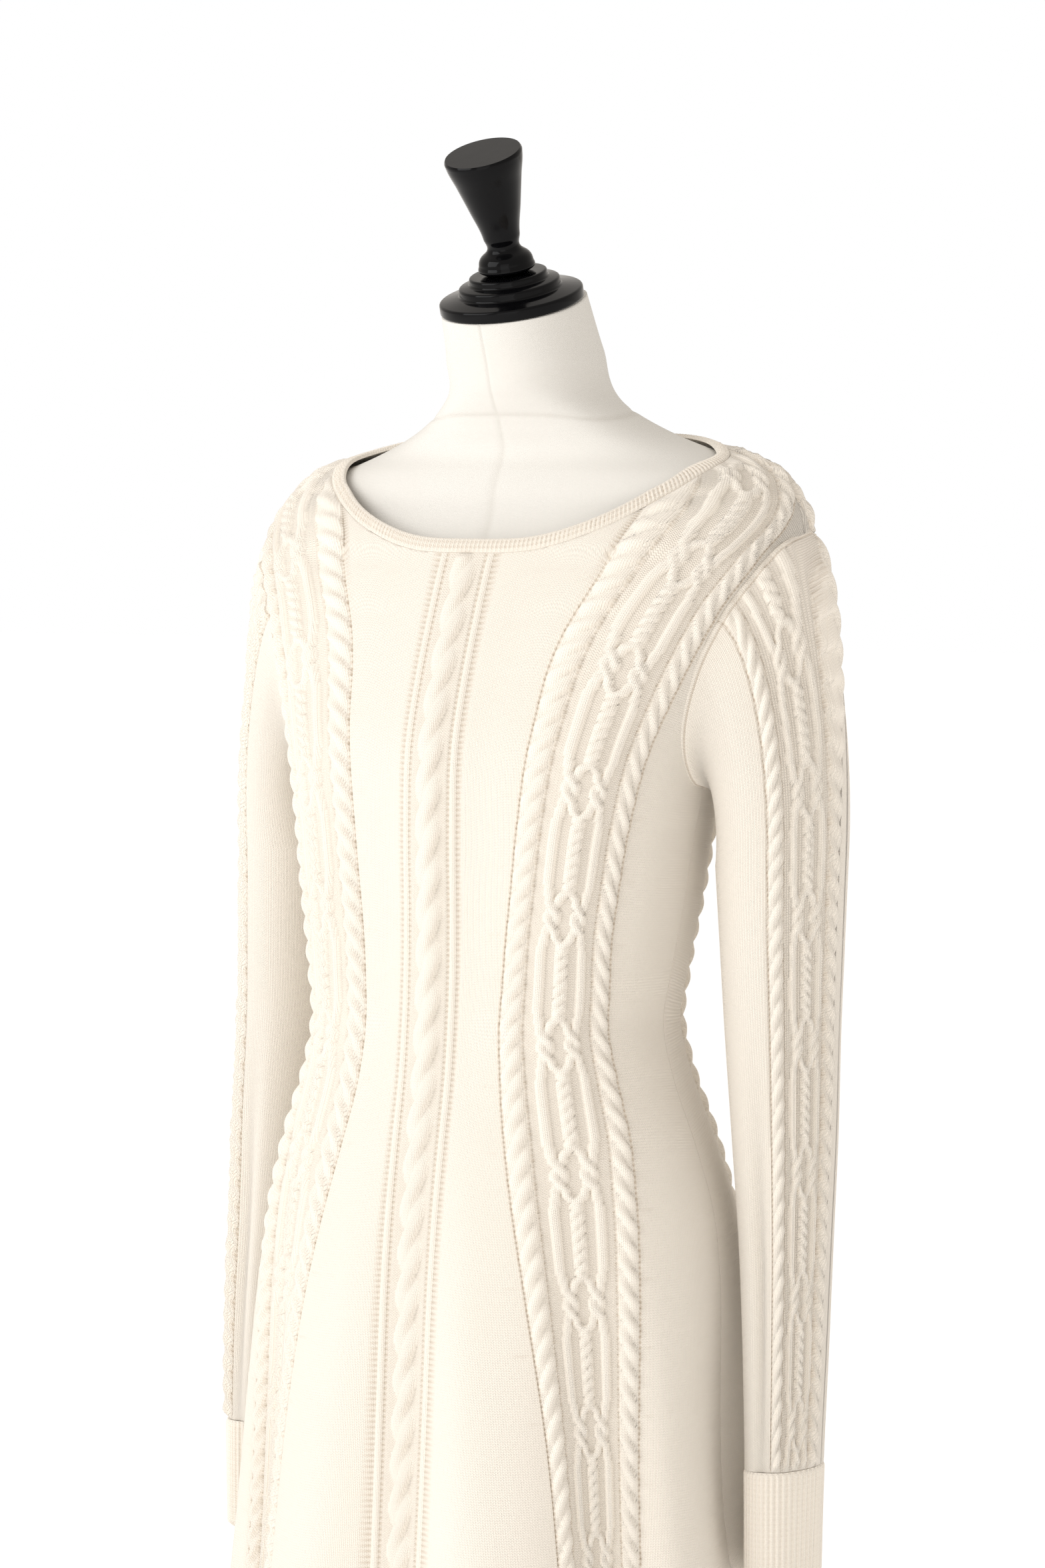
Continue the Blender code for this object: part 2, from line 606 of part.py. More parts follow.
def make_form():
    """The limbless torso with its neck, inside the dress by a small clearance."""
    sides = 36
    phi = np.arange(sides) * 2.0 * np.pi / sides
    heights = np.concatenate([
        np.linspace(FORM_BOTTOM, 1.265, 10), np.array([1.298, 1.320, 1.334, 1.345, 1.354, 1.363]),
        np.array([1.372, 1.384, 1.396, 1.410, 1.436, 1.462]),
    ])
    rings = []
    for z in heights:
        level = np.full(sides, z)
        seat = SEAT * hill(np.sin(phi) / 0.30) * hill((z - SEAT_HEIGHT) / 0.022)
        inset = smooth(INSETS, 1, level) - seat
        ring = body(phi, level, inset, folded=False)
        if z < LEVEL_BELOW:
            ring[:, 2] = z
        tilt = np.clip((z - 1.400) / (1.462 - 1.400), 0.0, 1.0) * math.tan(NECK_TILT)
        middle = ring[:, 1].mean()
        ring[:, 2] += (ring[:, 1] - middle) * tilt
        rings.append(ring)
    stack("form_torso", rings, CANVAS, 0.85)


def tilted_rings(profile, origin, angle, sides):
    """Rings of a turned profile whose axis leans forward by angle at its origin."""
    turn = np.arange(sides) * 2.0 * np.pi / sides
    lean = np.array([0.0, -math.sin(angle), math.cos(angle)])
    ahead = np.array([0.0, -math.cos(angle), -math.sin(angle)])
    side = np.array([1.0, 0.0, 0.0])
    rings = []
    for radius, along in profile:
        circle = radius * (np.cos(turn)[:, None] * side - np.sin(turn)[:, None] * ahead)
        rings.append(np.array(origin) + along * lean + circle)
    return rings


def make_cap_and_finial():
    """The turned neck cap, and the knob that stands leaning on it."""
    stack("neck_cap", tilted_rings(CAP_PROFILE, CAP_MIDDLE, NECK_TILT, 32), BLACK, 0.12, smooth_angle=35.0)
    lean = np.array([0.0, -math.sin(NECK_TILT), math.cos(NECK_TILT)])
    foot = np.array(CAP_MIDDLE) + (CAP_PROFILE[-1][1] + SEAM) * lean
    rings = []
    before = 0.0
    for along, radius, degrees in FINIAL:
        angle = math.radians(degrees)
        foot = foot + (along - before) * np.array([0.0, -math.sin(angle), math.cos(angle)])
        before = along
        rings += tilted_rings(((radius, 0.0),), foot, angle, 24)
    stack("finial", rings, BLACK, 0.12, smooth_angle=35.0)


def make_stand():
    """A plain pole and a round foot."""
    sides = 32
    turn = np.arange(sides) * 2.0 * np.pi / sides

    def level_ring(radius, z):
        return np.stack([radius * np.cos(turn), radius * np.sin(turn), np.full(sides, z)], -1)

    stack("stand_base", [level_ring(r, z) for r, z in BASE_PROFILE], STEEL, 0.4, 0.6)
    top = FORM_BOTTOM - SEAM
    foot = BASE_PROFILE[-1][1] + SEAM
    stack("stand_pole", [level_ring(POLE_RADIUS, foot), level_ring(POLE_RADIUS, top)], STEEL, 0.35, 0.8)


def main():
    for thing in list(bpy.data.objects):
        bpy.data.objects.remove(thing, do_unlink=True)
    edges = make_front_and_back()
    make_sleeves(edges)
    make_neckband(edges)
    make_form()
    make_cap_and_finial()
    make_stand()


main()
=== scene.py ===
"""Looks of the cable-knit sweater dress on its dress form.

Metres, +Z up, the front of the dress towards -Y, the wearer's left towards +X.
Every cloth piece is a thin closed shell on the form of its CAD solid, with the cables,
ropes, hole lines and folds standing on it as relief. Stitches are a bump that follows
each piece's own UV map, which is in metres of cloth.
"""

import math

import bpy
import numpy as np
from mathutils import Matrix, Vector


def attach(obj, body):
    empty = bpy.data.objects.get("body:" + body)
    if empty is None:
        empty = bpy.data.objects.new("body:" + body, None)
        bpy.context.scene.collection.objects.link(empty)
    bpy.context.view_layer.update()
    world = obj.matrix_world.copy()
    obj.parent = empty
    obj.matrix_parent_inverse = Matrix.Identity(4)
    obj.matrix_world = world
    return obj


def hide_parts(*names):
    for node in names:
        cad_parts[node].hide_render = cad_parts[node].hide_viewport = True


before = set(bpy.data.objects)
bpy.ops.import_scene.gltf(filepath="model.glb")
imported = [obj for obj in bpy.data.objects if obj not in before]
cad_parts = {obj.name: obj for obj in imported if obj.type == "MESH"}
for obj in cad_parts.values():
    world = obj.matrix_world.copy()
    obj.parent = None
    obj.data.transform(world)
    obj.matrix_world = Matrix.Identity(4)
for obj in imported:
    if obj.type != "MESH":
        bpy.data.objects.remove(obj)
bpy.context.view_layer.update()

# ---------------------------------------------------------------- sizes shared with the CAD part
WALL = 0.0022                 # thickness of the knitted cloth under the cables
SEAM = 0.0003                 # gap between two pieces at a seam
SIDE_GAP = 0.9 * SEAM         # half of the gap at the side seam
HEM = 0.280                   # height of the hem above the floor
ARMPIT = 1.150                # lowest point of the armhole
ARM_TOP = 1.3135              # highest point of the armhole
NECK_SIDE = 1.3677            # height of the neck edge on the shoulder seam
FRONT_DIP = 1.100             # above this height the rows bend down to the scoop neck
ARMHOLE_REACH = math.radians(28.9)
ARMHOLE_WIDEST = 0.634        # of its height: where the armhole reaches furthest in
ARMHOLE_LOW = 0.52            # powers that round its lower and upper ends
ARMHOLE_HIGH = 0.30
BAND_WIDTH = 0.0100           # ribbed band round the neck
NECK_HALF = 0.1430            # neck opening in plan: half width, front and back depths
NECK_MIDDLE = 0.0450
NECK_FRONT = 0.0790
NECK_BACK = 0.0850
NECK_POWER = 2.05             # of the superellipse in plan
NECK_LOWEST = 1.28            # the neck edge lies between these heights
NECK_HIGHEST = 1.384
SQUARENESS = 0.04             # how far the level sections swell towards their corners

# height, half width, side y, front y, back y of the dress's level sections
SECTIONS = np.array((
    (0.280, 0.2360, 0.018, -0.1900, 0.224),
    (0.450, 0.2080, 0.016, -0.1620, 0.194),
    (0.640, 0.1830, 0.014, -0.1380, 0.168),
    (0.760, 0.1720, 0.012, -0.1240, 0.150),
    (0.835, 0.1640, 0.011, -0.1150, 0.139),
    (0.878, 0.1570, 0.010, -0.1080, 0.130),
    (0.922, 0.1445, 0.008, -0.0990, 0.116),
    (0.965, 0.1300, 0.006, -0.0900, 0.102),
    (0.998, 0.1240, 0.005, -0.0860, 0.096),
    (1.030, 0.1290, 0.006, -0.0835, 0.099),
    (1.070, 0.1360, 0.009, -0.0825, 0.107),
    (1.126, 0.1430, 0.014, -0.0830, 0.118),
    (1.177, 0.1530, 0.021, -0.0800, 0.126),
    (1.227, 0.1735, 0.035, -0.0650, 0.132),
    (1.262, 0.1890, 0.046, -0.0510, 0.134),
    (1.291, 0.1985, 0.054, -0.0380, 0.134),
    (1.313, 0.1960, 0.061, -0.0270, 0.133),
    (1.339, 0.1830, 0.070, -0.0120, 0.132),
    (1.3565, 0.1600, 0.079, 0.0000, 0.131),
    (1.365, 0.1360, 0.084, 0.0060, 0.130),
    (1.380, 0.0960, 0.072, 0.0040, 0.125),
    (1.401, 0.0600, 0.053, -0.0060, 0.112),
    (1.430, 0.0530, 0.041, -0.0130, 0.095),
    (1.462, 0.0490, 0.027, -0.0220, 0.076),
))
# height, inner and outer hole line of the side cable panels, in degrees from the centre line
PANEL_LINES = np.array((
    (0.280, 38.0, 56.0),
    (0.640, 37.0, 56.0),
    (0.730, 34.0, 56.0),
    (0.830, 28.5, 57.5),
    (0.890, 25.0, 59.0),
    (0.935, 23.3, 61.0),
    (1.000, 22.7, 59.5),
    (1.060, 22.5, 55.5),
    (1.110, 23.6, 56.5),
    (1.190, 24.6, 59.2),
    (1.230, 23.8, 59.2),
    (1.252, 24.4, 59.4),
    (1.272, 26.0, 60.5),
    (1.290, 27.6, 64.0),
    (1.303, 29.0, 68.5),
    (1.319, 31.5, 79.0),
    (1.345, 38.0, 94.0),
    (1.366, 46.0, 102.0),
))
CENTRE_PANEL = 0.021          # half width of the centre cable panel
# height, depth of the centre valley, depth of the side valleys, rise of the plain gores
FOLDS = np.array((
    (0.280, 0.026, 0.034, 0.012),
    (0.640, 0.014, 0.020, 0.008),
    (0.760, 0.009, 0.013, 0.005),
    (0.860, 0.004, 0.006, 0.002),
    (0.940, 0.000, 0.000, 0.000),
    (1.405, 0.000, 0.000, 0.000),
))
CENTRE_SPREAD = np.radians(17.0)    # half widths of the folds, as angles
PANEL_SPREAD = np.radians(19.0)
GORE_SPREAD = np.radians(14.0)
SIDE_GORE = 1.4                     # the side gore's angle from the centre line, and its half width
SIDE_SPREAD = 0.45
SLEEVE_DENT = 0.020                 # the sleeves press the skirt in at the sides
DENT_HEIGHT = 0.672
DENT_SPREAD = 0.115
DENT_REACH = 0.55
# height, middle x, middle y, half x, half y of the sleeve's level oval rings
SLEEVE = np.array((
    (0.636, 0.1985, 0.029, 0.0205, 0.0350),
    (0.715, 0.1985, 0.031, 0.0215, 0.0375),
    (0.790, 0.1975, 0.035, 0.0240, 0.0400),
    (0.857, 0.1950, 0.040, 0.0270, 0.0420),
    (0.922, 0.1920, 0.044, 0.0310, 0.0450),
    (1.000, 0.1880, 0.048, 0.0350, 0.0480),
    (1.050, 0.1865, 0.050, 0.0370, 0.0520),
    (1.100, 0.1850, 0.052, 0.0390, 0.0560),
))
CAP_END = 1.100               # the sleeve's level rings start here
CUFF_TOP = 0.7140
CUFF_END = 0.6420
SLOPE_STEP = 0.001            # the drop over which a ring's slope is read
CAP_BULGE = 0.012             # the sleeve's head stands out over the shoulder point
CAP_LEAVE = 0.012             # the sleeve first runs this far across the armhole
CAP_STAND = 0.0075            # and stands off it by this much
CAP_RISE = 0.62               # of its height above the level rings: where a line has turned down
UNDERARM_PUSH = 0.013         # the lines stand off the side under the arm
# height, how far the right sleeve's rings draw in, and how much slimmer they are
CLOSE = np.array(((0.640, 0.0040, 0.000), (0.850, 0.0040, 0.000), (1.000, 0.0060, 0.003),
                  (1.100, 0.0070, 0.005)))
# height and distance of the form under the dress
INSETS = np.array((
    (0.700, 0.0450), (0.860, 0.0240), (0.930, 0.0130), (1.000, 0.0075), (1.070, 0.0070),
    (1.130, 0.0070), (1.200, 0.0120), (1.250, 0.0180), (1.290, 0.0160), (1.313, 0.0145),
    (1.333, 0.0130), (1.345, 0.0080), (1.362, 0.0052), (1.385, 0.0042), (1.462, 0.0030),
))
SEAT = 0.0022                 # the shoulders stand up by this to carry the dress
SEAT_HEIGHT = 1.352
SEAT_SPREAD = 0.022
SEAT_REACH = 0.30
FORM_BOTTOM = 0.740
LEVEL_BELOW = 1.200           # the torso's rings are level below this height
TILT_FROM = 1.400             # the neck's rings start to tilt here, and end at the cap
FORM_TOP = 1.462
NECK_TILT = math.radians(17.0)
CAP_MIDDLE = (0.0, 0.0245, 1.4620)
POLE_RADIUS = 0.0125

# ---------------------------------------------------------------- sizes of the knit
LINK = 0.0813                 # length of one link of the chain cable, knot to knot
KNOT_HEIGHT = 1.151           # height of one knot on the front's side panels
PANEL_WIDTH = 0.072           # cloth width of a side cable panel
STITCH_WIDTH = 0.0021
STITCH_HEIGHT = 0.0016


# ---------------------------------------------------------------- shape functions
def smooth(table, column, at):
    """One column of a table read at any height: cubic Hermite pieces whose slopes are the
    table's own finite differences."""
    where = np.asarray(at, float)
    knots = table[:, 0]
    values = table[:, column]
    slopes = np.gradient(values, knots)
    k = np.clip(np.searchsorted(knots, where) - 1, 0, len(knots) - 2)
    span = knots[k + 1] - knots[k]
    t = np.clip((where - knots[k]) / span, 0.0, 1.0)
    rise = t * t * (3.0 - 2.0 * t)
    start = t * (1.0 - t) ** 2 * span * slopes[k]
    end = t * t * (1.0 - t) * span * slopes[k + 1]
    return values[k] * (1.0 - rise) + values[k + 1] * rise + start - end


def hill(x):
    """A raised cosine: 0.5 + 0.5 cos(pi x) between -1 and 1, and 0 outside."""
    return np.where(np.abs(x) < 1.0, 0.5 + 0.5 * np.cos(np.pi * np.clip(x, -1.0, 1.0)), 0.0)


def ease(x):
    """Smoothstep: 3 x squared minus 2 x cubed, held at 0 and 1 outside."""
    t = np.clip(x, 0.0, 1.0)
    return t * t * (3.0 - 2.0 * t)


def dome(x, half):
    """A half ellipse of height 1: the root of 1 minus (x over half) squared, and 0 outside."""
    return np.sqrt(np.clip(1.0 - (x / half) ** 2, 0.0, 1.0))


def from_centre(phi):
    """The angle from the centre line of the front or the back, always positive."""
    return np.pi / 2.0 - np.abs((np.abs(phi) + np.pi / 2.0) % np.pi - np.pi / 2.0)


def hole_line(which, z):
    """Angle of the inner (1) or outer (2) hole line from the centre line, at a height."""
    return np.radians(smooth(PANEL_LINES, which, z))


def folds(phi, z):
    """Skirt folds: raised-cosine gores less the centre valley, the side valleys and the dent
    that the hanging sleeve makes."""
    away = from_centre(phi)
    inner = hole_line(1, z)
    middle = 0.5 * (inner + hole_line(2, z))
    valley = smooth(FOLDS, 1, z) * hill(away / CENTRE_SPREAD)
    valley = valley + smooth(FOLDS, 2, z) * hill((away - middle) / PANEL_SPREAD)
    gores = hill((away - 0.5 * inner) / GORE_SPREAD) + hill((away - SIDE_GORE) / SIDE_SPREAD)
    gore = smooth(FOLDS, 3, z) * gores
    at_sleeve = hill((z - DENT_HEIGHT) / (2.0 * DENT_SPREAD))
    dent = SLEEVE_DENT * at_sleeve * hill((away - np.pi / 2.0) / DENT_REACH)
    return gore - valley - dent


def body(phi, z, inset=0.0, folded=True):
    """The dress's surface: at height z a squarish oval whose half width and depths come from
    the sections, swollen by 1 + squareness times sin squared of twice the angle, plus the
    folds. An inset moves the point in along the normal."""
    half = smooth(SECTIONS, 1, z)
    side = smooth(SECTIONS, 2, z)
    front = side - smooth(SECTIONS, 3, z)
    back = smooth(SECTIONS, 4, z) - side
    c = np.cos(phi)
    s = np.sin(phi)
    depth = np.where(s < 0.0, front, back)
    swell = 1.0 + SQUARENESS * np.sin(2.0 * phi) ** 2
    out = folds(phi, z) if folded else 0.0
    x = (half * swell + out) * c
    y = side + (depth * swell + out) * s
    point = np.stack([x, y, z + 0.0 * phi], -1)
    if np.any(inset):
        point = point - np.asarray(inset)[..., None] * body_normal(phi, z, folded)
    return point


def body_normal(phi, z, folded=True):
    """Outward normal of the dress's surface: a small step round crossed with a small step up."""
    step = 1e-4
    around = body(phi + step, z, folded=folded) - body(phi - step, z, folded=folded)
    up = body(phi, z + step, folded=folded) - body(phi, z - step, folded=folded)
    normal = np.cross(around, up)
    return normal / np.linalg.norm(normal, axis=-1, keepdims=True)


def neck_height(phi):
    """Height where the surface meets the upright superellipse tube of the neck opening,
    found by halving."""
    low = np.full_like(phi, NECK_LOWEST)
    high = np.full_like(phi, NECK_HIGHEST)
    for _ in range(30):
        middle = 0.5 * (low + high)
        point = body(phi, middle)
        y = point[..., 1] - NECK_MIDDLE
        depth = np.where(y < 0.0, NECK_FRONT, NECK_BACK)
        across = np.abs(point[..., 0] / NECK_HALF) ** NECK_POWER
        outside = across + np.abs(y / depth) ** NECK_POWER > 1.0
        low = np.where(outside, middle, low)
        high = np.where(outside, high, middle)
    return 0.5 * (low + high)


NECK_TABLE_ANGLES = np.linspace(-np.pi, np.pi, 1441)
NECK_TABLE = neck_height(NECK_TABLE_ANGLES)


def neck_line(phi):
    """neck_height read from a fine table, for large grids."""
    return np.interp(phi, NECK_TABLE_ANGLES, NECK_TABLE)


def armhole_edge(rows):
    """Half opening of the armhole as an angle: reach times a power of u and one of 1 - u,
    scaled to be 1 where the armhole is widest."""
    u = np.clip((rows - ARMPIT) / (ARM_TOP - ARMPIT), 0.0, 1.0)
    rise = (u / ARMHOLE_WIDEST) ** ARMHOLE_LOW
    fall = ((1.0 - u) / (1.0 - ARMHOLE_WIDEST)) ** ARMHOLE_HIGH
    return ARMHOLE_REACH * rise * fall


def side_end(rows, front):
    """Angle from the centre line of the piece's side edge: the side line, less half the seam
    gap, less the armhole."""
    edge = smooth(SECTIONS, 3 if front else 4, rows)
    gap = SIDE_GAP / np.abs(edge - smooth(SECTIONS, 2, rows))
    return np.pi / 2.0 - gap - armhole_edge(rows)


def rows_to_heights(phi, rows):
    """Rows are level below the bust and bend by a smoothstep to end along the neck edge."""
    lift = ease((rows - FRONT_DIP) / (NECK_SIDE - FRONT_DIP))
    return rows + (neck_line(phi) - NECK_SIDE) * lift


# ---------------------------------------------------------------- knit relief
ROPE_LIFT = 0.75              # of a rope's height: how far the strand that goes over is lifted
HOLE_HALF = 0.0014            # half width of a hole line
HOLE_STEP = 0.0036            # from eyelet to eyelet along it


def strand(x, middle, half, high, over=0.0):
    """One cable strand: a half ellipse over its moving middle, lifted where it goes over."""
    across = dome(x - middle, half)
    return np.where(across > 0.0, high * across + over * across ** 0.5, -1.0)


def rope(x, along, crossing, reach, half, high):
    """A two-strand rope: strand middles swing as plus and minus reach times sin(pi along /
    crossing), and each goes over where the cosine is positive."""
    turn = np.pi * along / crossing
    swing = reach * np.sin(turn)
    lift = ROPE_LIFT * high * np.cos(turn)
    one = strand(x, swing, half, high, lift)
    two = strand(x, -swing, half, high, -lift)
    return np.maximum(np.maximum(one, two), 0.0)


KNOT_HALF = 0.13              # of a link: how far the knot's two small twists run up and down
SPLIT_END = 0.27              # of a link: where the inner strands meet in the middle
OUTER_BOW = 0.0128            # the outer strands' distance from the middle between knots
KNOT_PLACE = 0.0082           # the small twists' distance from the middle
KNOT_SWING = 0.0026
TWIST_SWING = 0.0021
TWIST_TURNS = 5.0             # half turns of the inner strands between knots
STRAND_HALF = 0.0028
TWIST_HALF = 0.0025
STRAND_HIGH = 0.0028
KNOT_LIFT = 0.0012            # the strand that goes over is lifted by this
BOW_SPAN = 0.20               # of a link: how long the outer strands take to bow out
STRAND_VALLEY = 0.0010        # half width of the shallow valley along an outer strand
STEEPEST = 1.7                # a strand's slope is read no steeper than this


def chain_paths(u):
    """Distance from the middle of an outer and an inner strand, u links from a knot: outside
    the knot they ease from it to the outer bow and to the middle; in it they swing by a
    cosine; the inner one then swings by a sine about the middle."""
    e = np.abs(u)
    parting = 0.8 * KNOT_HALF
    away = ease((e - parting) / BOW_SPAN)
    join = ease((e - parting) / (SPLIT_END - parting))
    knot = np.pi * (np.clip(u / KNOT_HALF, -1.0, 1.0) + 1.0)
    swing = KNOT_SWING * np.cos(knot)
    outer = KNOT_PLACE + swing + (OUTER_BOW - KNOT_PLACE - KNOT_SWING) * away
    turn = np.pi * TWIST_TURNS * (u % 1.0 - SPLIT_END) / (1.0 - 2.0 * SPLIT_END)
    inner = (KNOT_PLACE - swing) * (1.0 - join) + TWIST_SWING * np.sin(turn) * join
    return outer, inner, KNOT_LIFT * np.sin(knot), KNOT_LIFT * np.cos(turn) * join


def chain(x, links):
    """The chain cable: two outer and two inner strands on their paths, each a half ellipse
    whose width is measured square to its path, the one that goes over lifted."""
    u = links - np.round(links)
    outer, inner, over_knot, over_twist = chain_paths(u)
    step = 0.003
    ahead, behind = chain_paths(u + step), chain_paths(u - step)
    lean = [np.clip((a - b) / (2.0 * step * LINK), -STEEPEST, STEEPEST)
            for a, b in zip(ahead[:2], behind[:2])]
    outer_half, inner_half = (half * np.sqrt(1.0 + slope ** 2)
                              for half, slope in zip((STRAND_HALF, TWIST_HALF), lean))
    height = np.zeros_like(x)
    for hand in (-1.0, 1.0):
        tall = STRAND_HIGH * (1.0 - 0.22 * hill((x - hand * outer) / STRAND_VALLEY))
        height = np.maximum(height, strand(x, hand * outer, outer_half, tall, hand * over_knot))
        height = np.maximum(height, strand(x, hand * inner, inner_half, STRAND_HIGH,
                                           hand * (over_twist - over_knot)))
    return height


CENTRE_CROSSING = 0.0271      # the centre rope: from crossing to crossing, and its strands
CENTRE_SWING = 0.0036
CENTRE_HALF = 0.0052
CENTRE_HIGH = 0.0030
SIDE_RIB = 0.0172             # the plain rib between the two hole lines at each side
SIDE_RIB_HALF = 0.0030
SIDE_RIB_HIGH = 0.0009
CENTRE_GROUND = 0.0145        # the purl ground ends here
CENTRE_HOLES = (0.0142, 0.0205)
CENTRE_HOLE_DEPTH = 0.0007


def centre_relief(x, along):
    """Centre cable panel: a rope in the middle, a plain rib and a purl gap at each side,
    and two hole lines. Returns height, purl mask and hole mask."""
    height = rope(x, along, CENTRE_CROSSING, CENTRE_SWING, CENTRE_HALF, CENTRE_HIGH)
    covered = height > 0.0
    side = np.abs(x)
    height = height + SIDE_RIB_HIGH * hill((side - SIDE_RIB) / SIDE_RIB_HALF)
    # the purl and hole masks also darken the wool's colour: painted shade on the purl gap and in the hole
    # lines
    purl = np.where((side < CENTRE_GROUND) & ~covered, 1.0, 0.0)
    mask = np.zeros_like(x)
    for place in CENTRE_HOLES:
        groove = hill((side - place) / HOLE_HALF)
        height = height - CENTRE_HOLE_DEPTH * groove
        mask = np.maximum(mask, groove)
    return height, purl, mask


ROPE_PLACE = 0.0085           # the panel ropes' distance in from the hole lines
ROPE_CROSSING = 0.0160
ROPE_SWING = 0.0031
ROPE_HALF = 0.0037
ROPE_HIGH = 0.0027
GROUND_FROM = 0.0150          # the purl ground starts here
GROUND_DEPTH = 0.0005
HOLE_DEPTH = 0.0010
PANEL_HOLES = ((0.0012, 1.0), (GROUND_FROM, 0.55))     # places in from the edge, and strengths


def panel_relief(s, inner_along, outer_along, links):
    """Side cable panel, s from 0 at the inner hole line to 1 at the outer one: a rope inside
    each line, each with its own length along it, and the chain on a purl ground."""
    x = s * PANEL_WIDTH
    middle = x - 0.5 * PANEL_WIDTH
    height = chain(middle, links)
    sizes = (ROPE_CROSSING, ROPE_SWING, ROPE_HALF, ROPE_HIGH)
    left = rope(x - ROPE_PLACE, inner_along, *sizes)
    right = rope(x - (PANEL_WIDTH - ROPE_PLACE), -outer_along, *sizes)
    ropes = np.maximum(left, right)
    edge = np.minimum(x, PANEL_WIDTH - x)
    ground = edge > GROUND_FROM
    # the purl and hole masks also darken the wool's colour: painted shade on the purl ground and in the hole
    # lines
    purl = np.where(ground & (height <= 0.0), 1.0, 0.0)
    height = np.maximum(height, ropes) - GROUND_DEPTH * purl
    mask = np.zeros_like(x)
    for place, strength in PANEL_HOLES:
        groove = strength * hill((edge - place) / HOLE_HALF)
        height = height - HOLE_DEPTH * groove
        mask = np.maximum(mask, groove)
    return height, purl, mask


MARK_PLACES = (0.0050, 0.0092)        # the two marks' distances from the hole line
MARK_HALF = 0.0016
MARK_LENGTH = 0.0020


def marks(distance, along, step=0.043):
    """Paired fashioning marks: small dips in pairs beside a hole line, one pair each step."""
    place = along % step - 0.5 * step
    pair = sum(hill((distance - at) / MARK_HALF) for at in MARK_PLACES)
    return 0.5 * pair * hill(place / MARK_LENGTH)


# ---------------------------------------------------------------- mesh making
RIM_ANGLE = 72.0              # a shell's rims stay sharp; the knit's relief is smooth


def strip(fine, kept, coarse, turned):
    """Triangles that join a fine edge to a coarse one that keeps some of its places."""
    kept = np.asarray(kept)
    k = np.arange(len(fine) - 1)
    i = np.searchsorted(kept, k, side="right") - 1
    fans = np.stack([fine[k + 1], fine[k], coarse[i]], -1)
    n = np.arange(len(kept) - 1)
    links = np.stack([coarse[n], coarse[n + 1], fine[kept[n + 1]]], -1)
    tris = np.vstack([fans, links])
    return tris[:, ::-1] if turned else tris


def corners(grid):
    """The four corners of each cell of a grid, in order round the cell, as [cell, corner, ...]."""
    four = np.stack([grid[:-1, :-1], grid[1:, :-1], grid[1:, 1:], grid[:-1, 1:]], 2)
    return four.reshape(-1, 4, *grid.shape[2:])


def around(grid, more=0.0):
    """The grid with its first column again at the end, plus more, so that a tube closes."""
    return np.concatenate([grid, grid[:1] + more])


def every(count, step):
    """Every step-th place of count places, with the last one."""
    return np.unique(np.append(np.arange(0, count, step), count - 1))


def build_mesh(name, verts, quads, tris, uv=None, values=None):
    """A mesh from corner, four-sided and three-sided face arrays, with a UV for each face
    corner and point attributes."""
    mesh = bpy.data.meshes.new(name)
    loops = np.concatenate([quads.ravel(), tris.ravel()]).astype(np.int32)
    starts = np.concatenate([np.arange(len(quads)) * 4, len(quads) * 4 + np.arange(len(tris)) * 3])
    mesh.vertices.add(len(verts))
    mesh.vertices.foreach_set("co", np.ascontiguousarray(verts, np.float32).ravel())
    mesh.loops.add(len(loops))
    mesh.loops.foreach_set("vertex_index", loops)
    mesh.polygons.add(len(starts))
    mesh.polygons.foreach_set("loop_start", starts.astype(np.int32))
    mesh.update(calc_edges=True)
    if uv is not None:
        layer = mesh.uv_layers.new(name="cloth")
        layer.data.foreach_set("uv", uv.astype(np.float32).ravel())
    for key, value in (values or {}).items():
        layer = mesh.attributes.new(key, "FLOAT", "POINT")
        layer.data.foreach_set("value", value.astype(np.float32))
    mesh.validate()
    mesh.shade_smooth()
    thing = bpy.data.objects.new(name, mesh)
    bpy.context.scene.collection.objects.link(thing)
    return thing


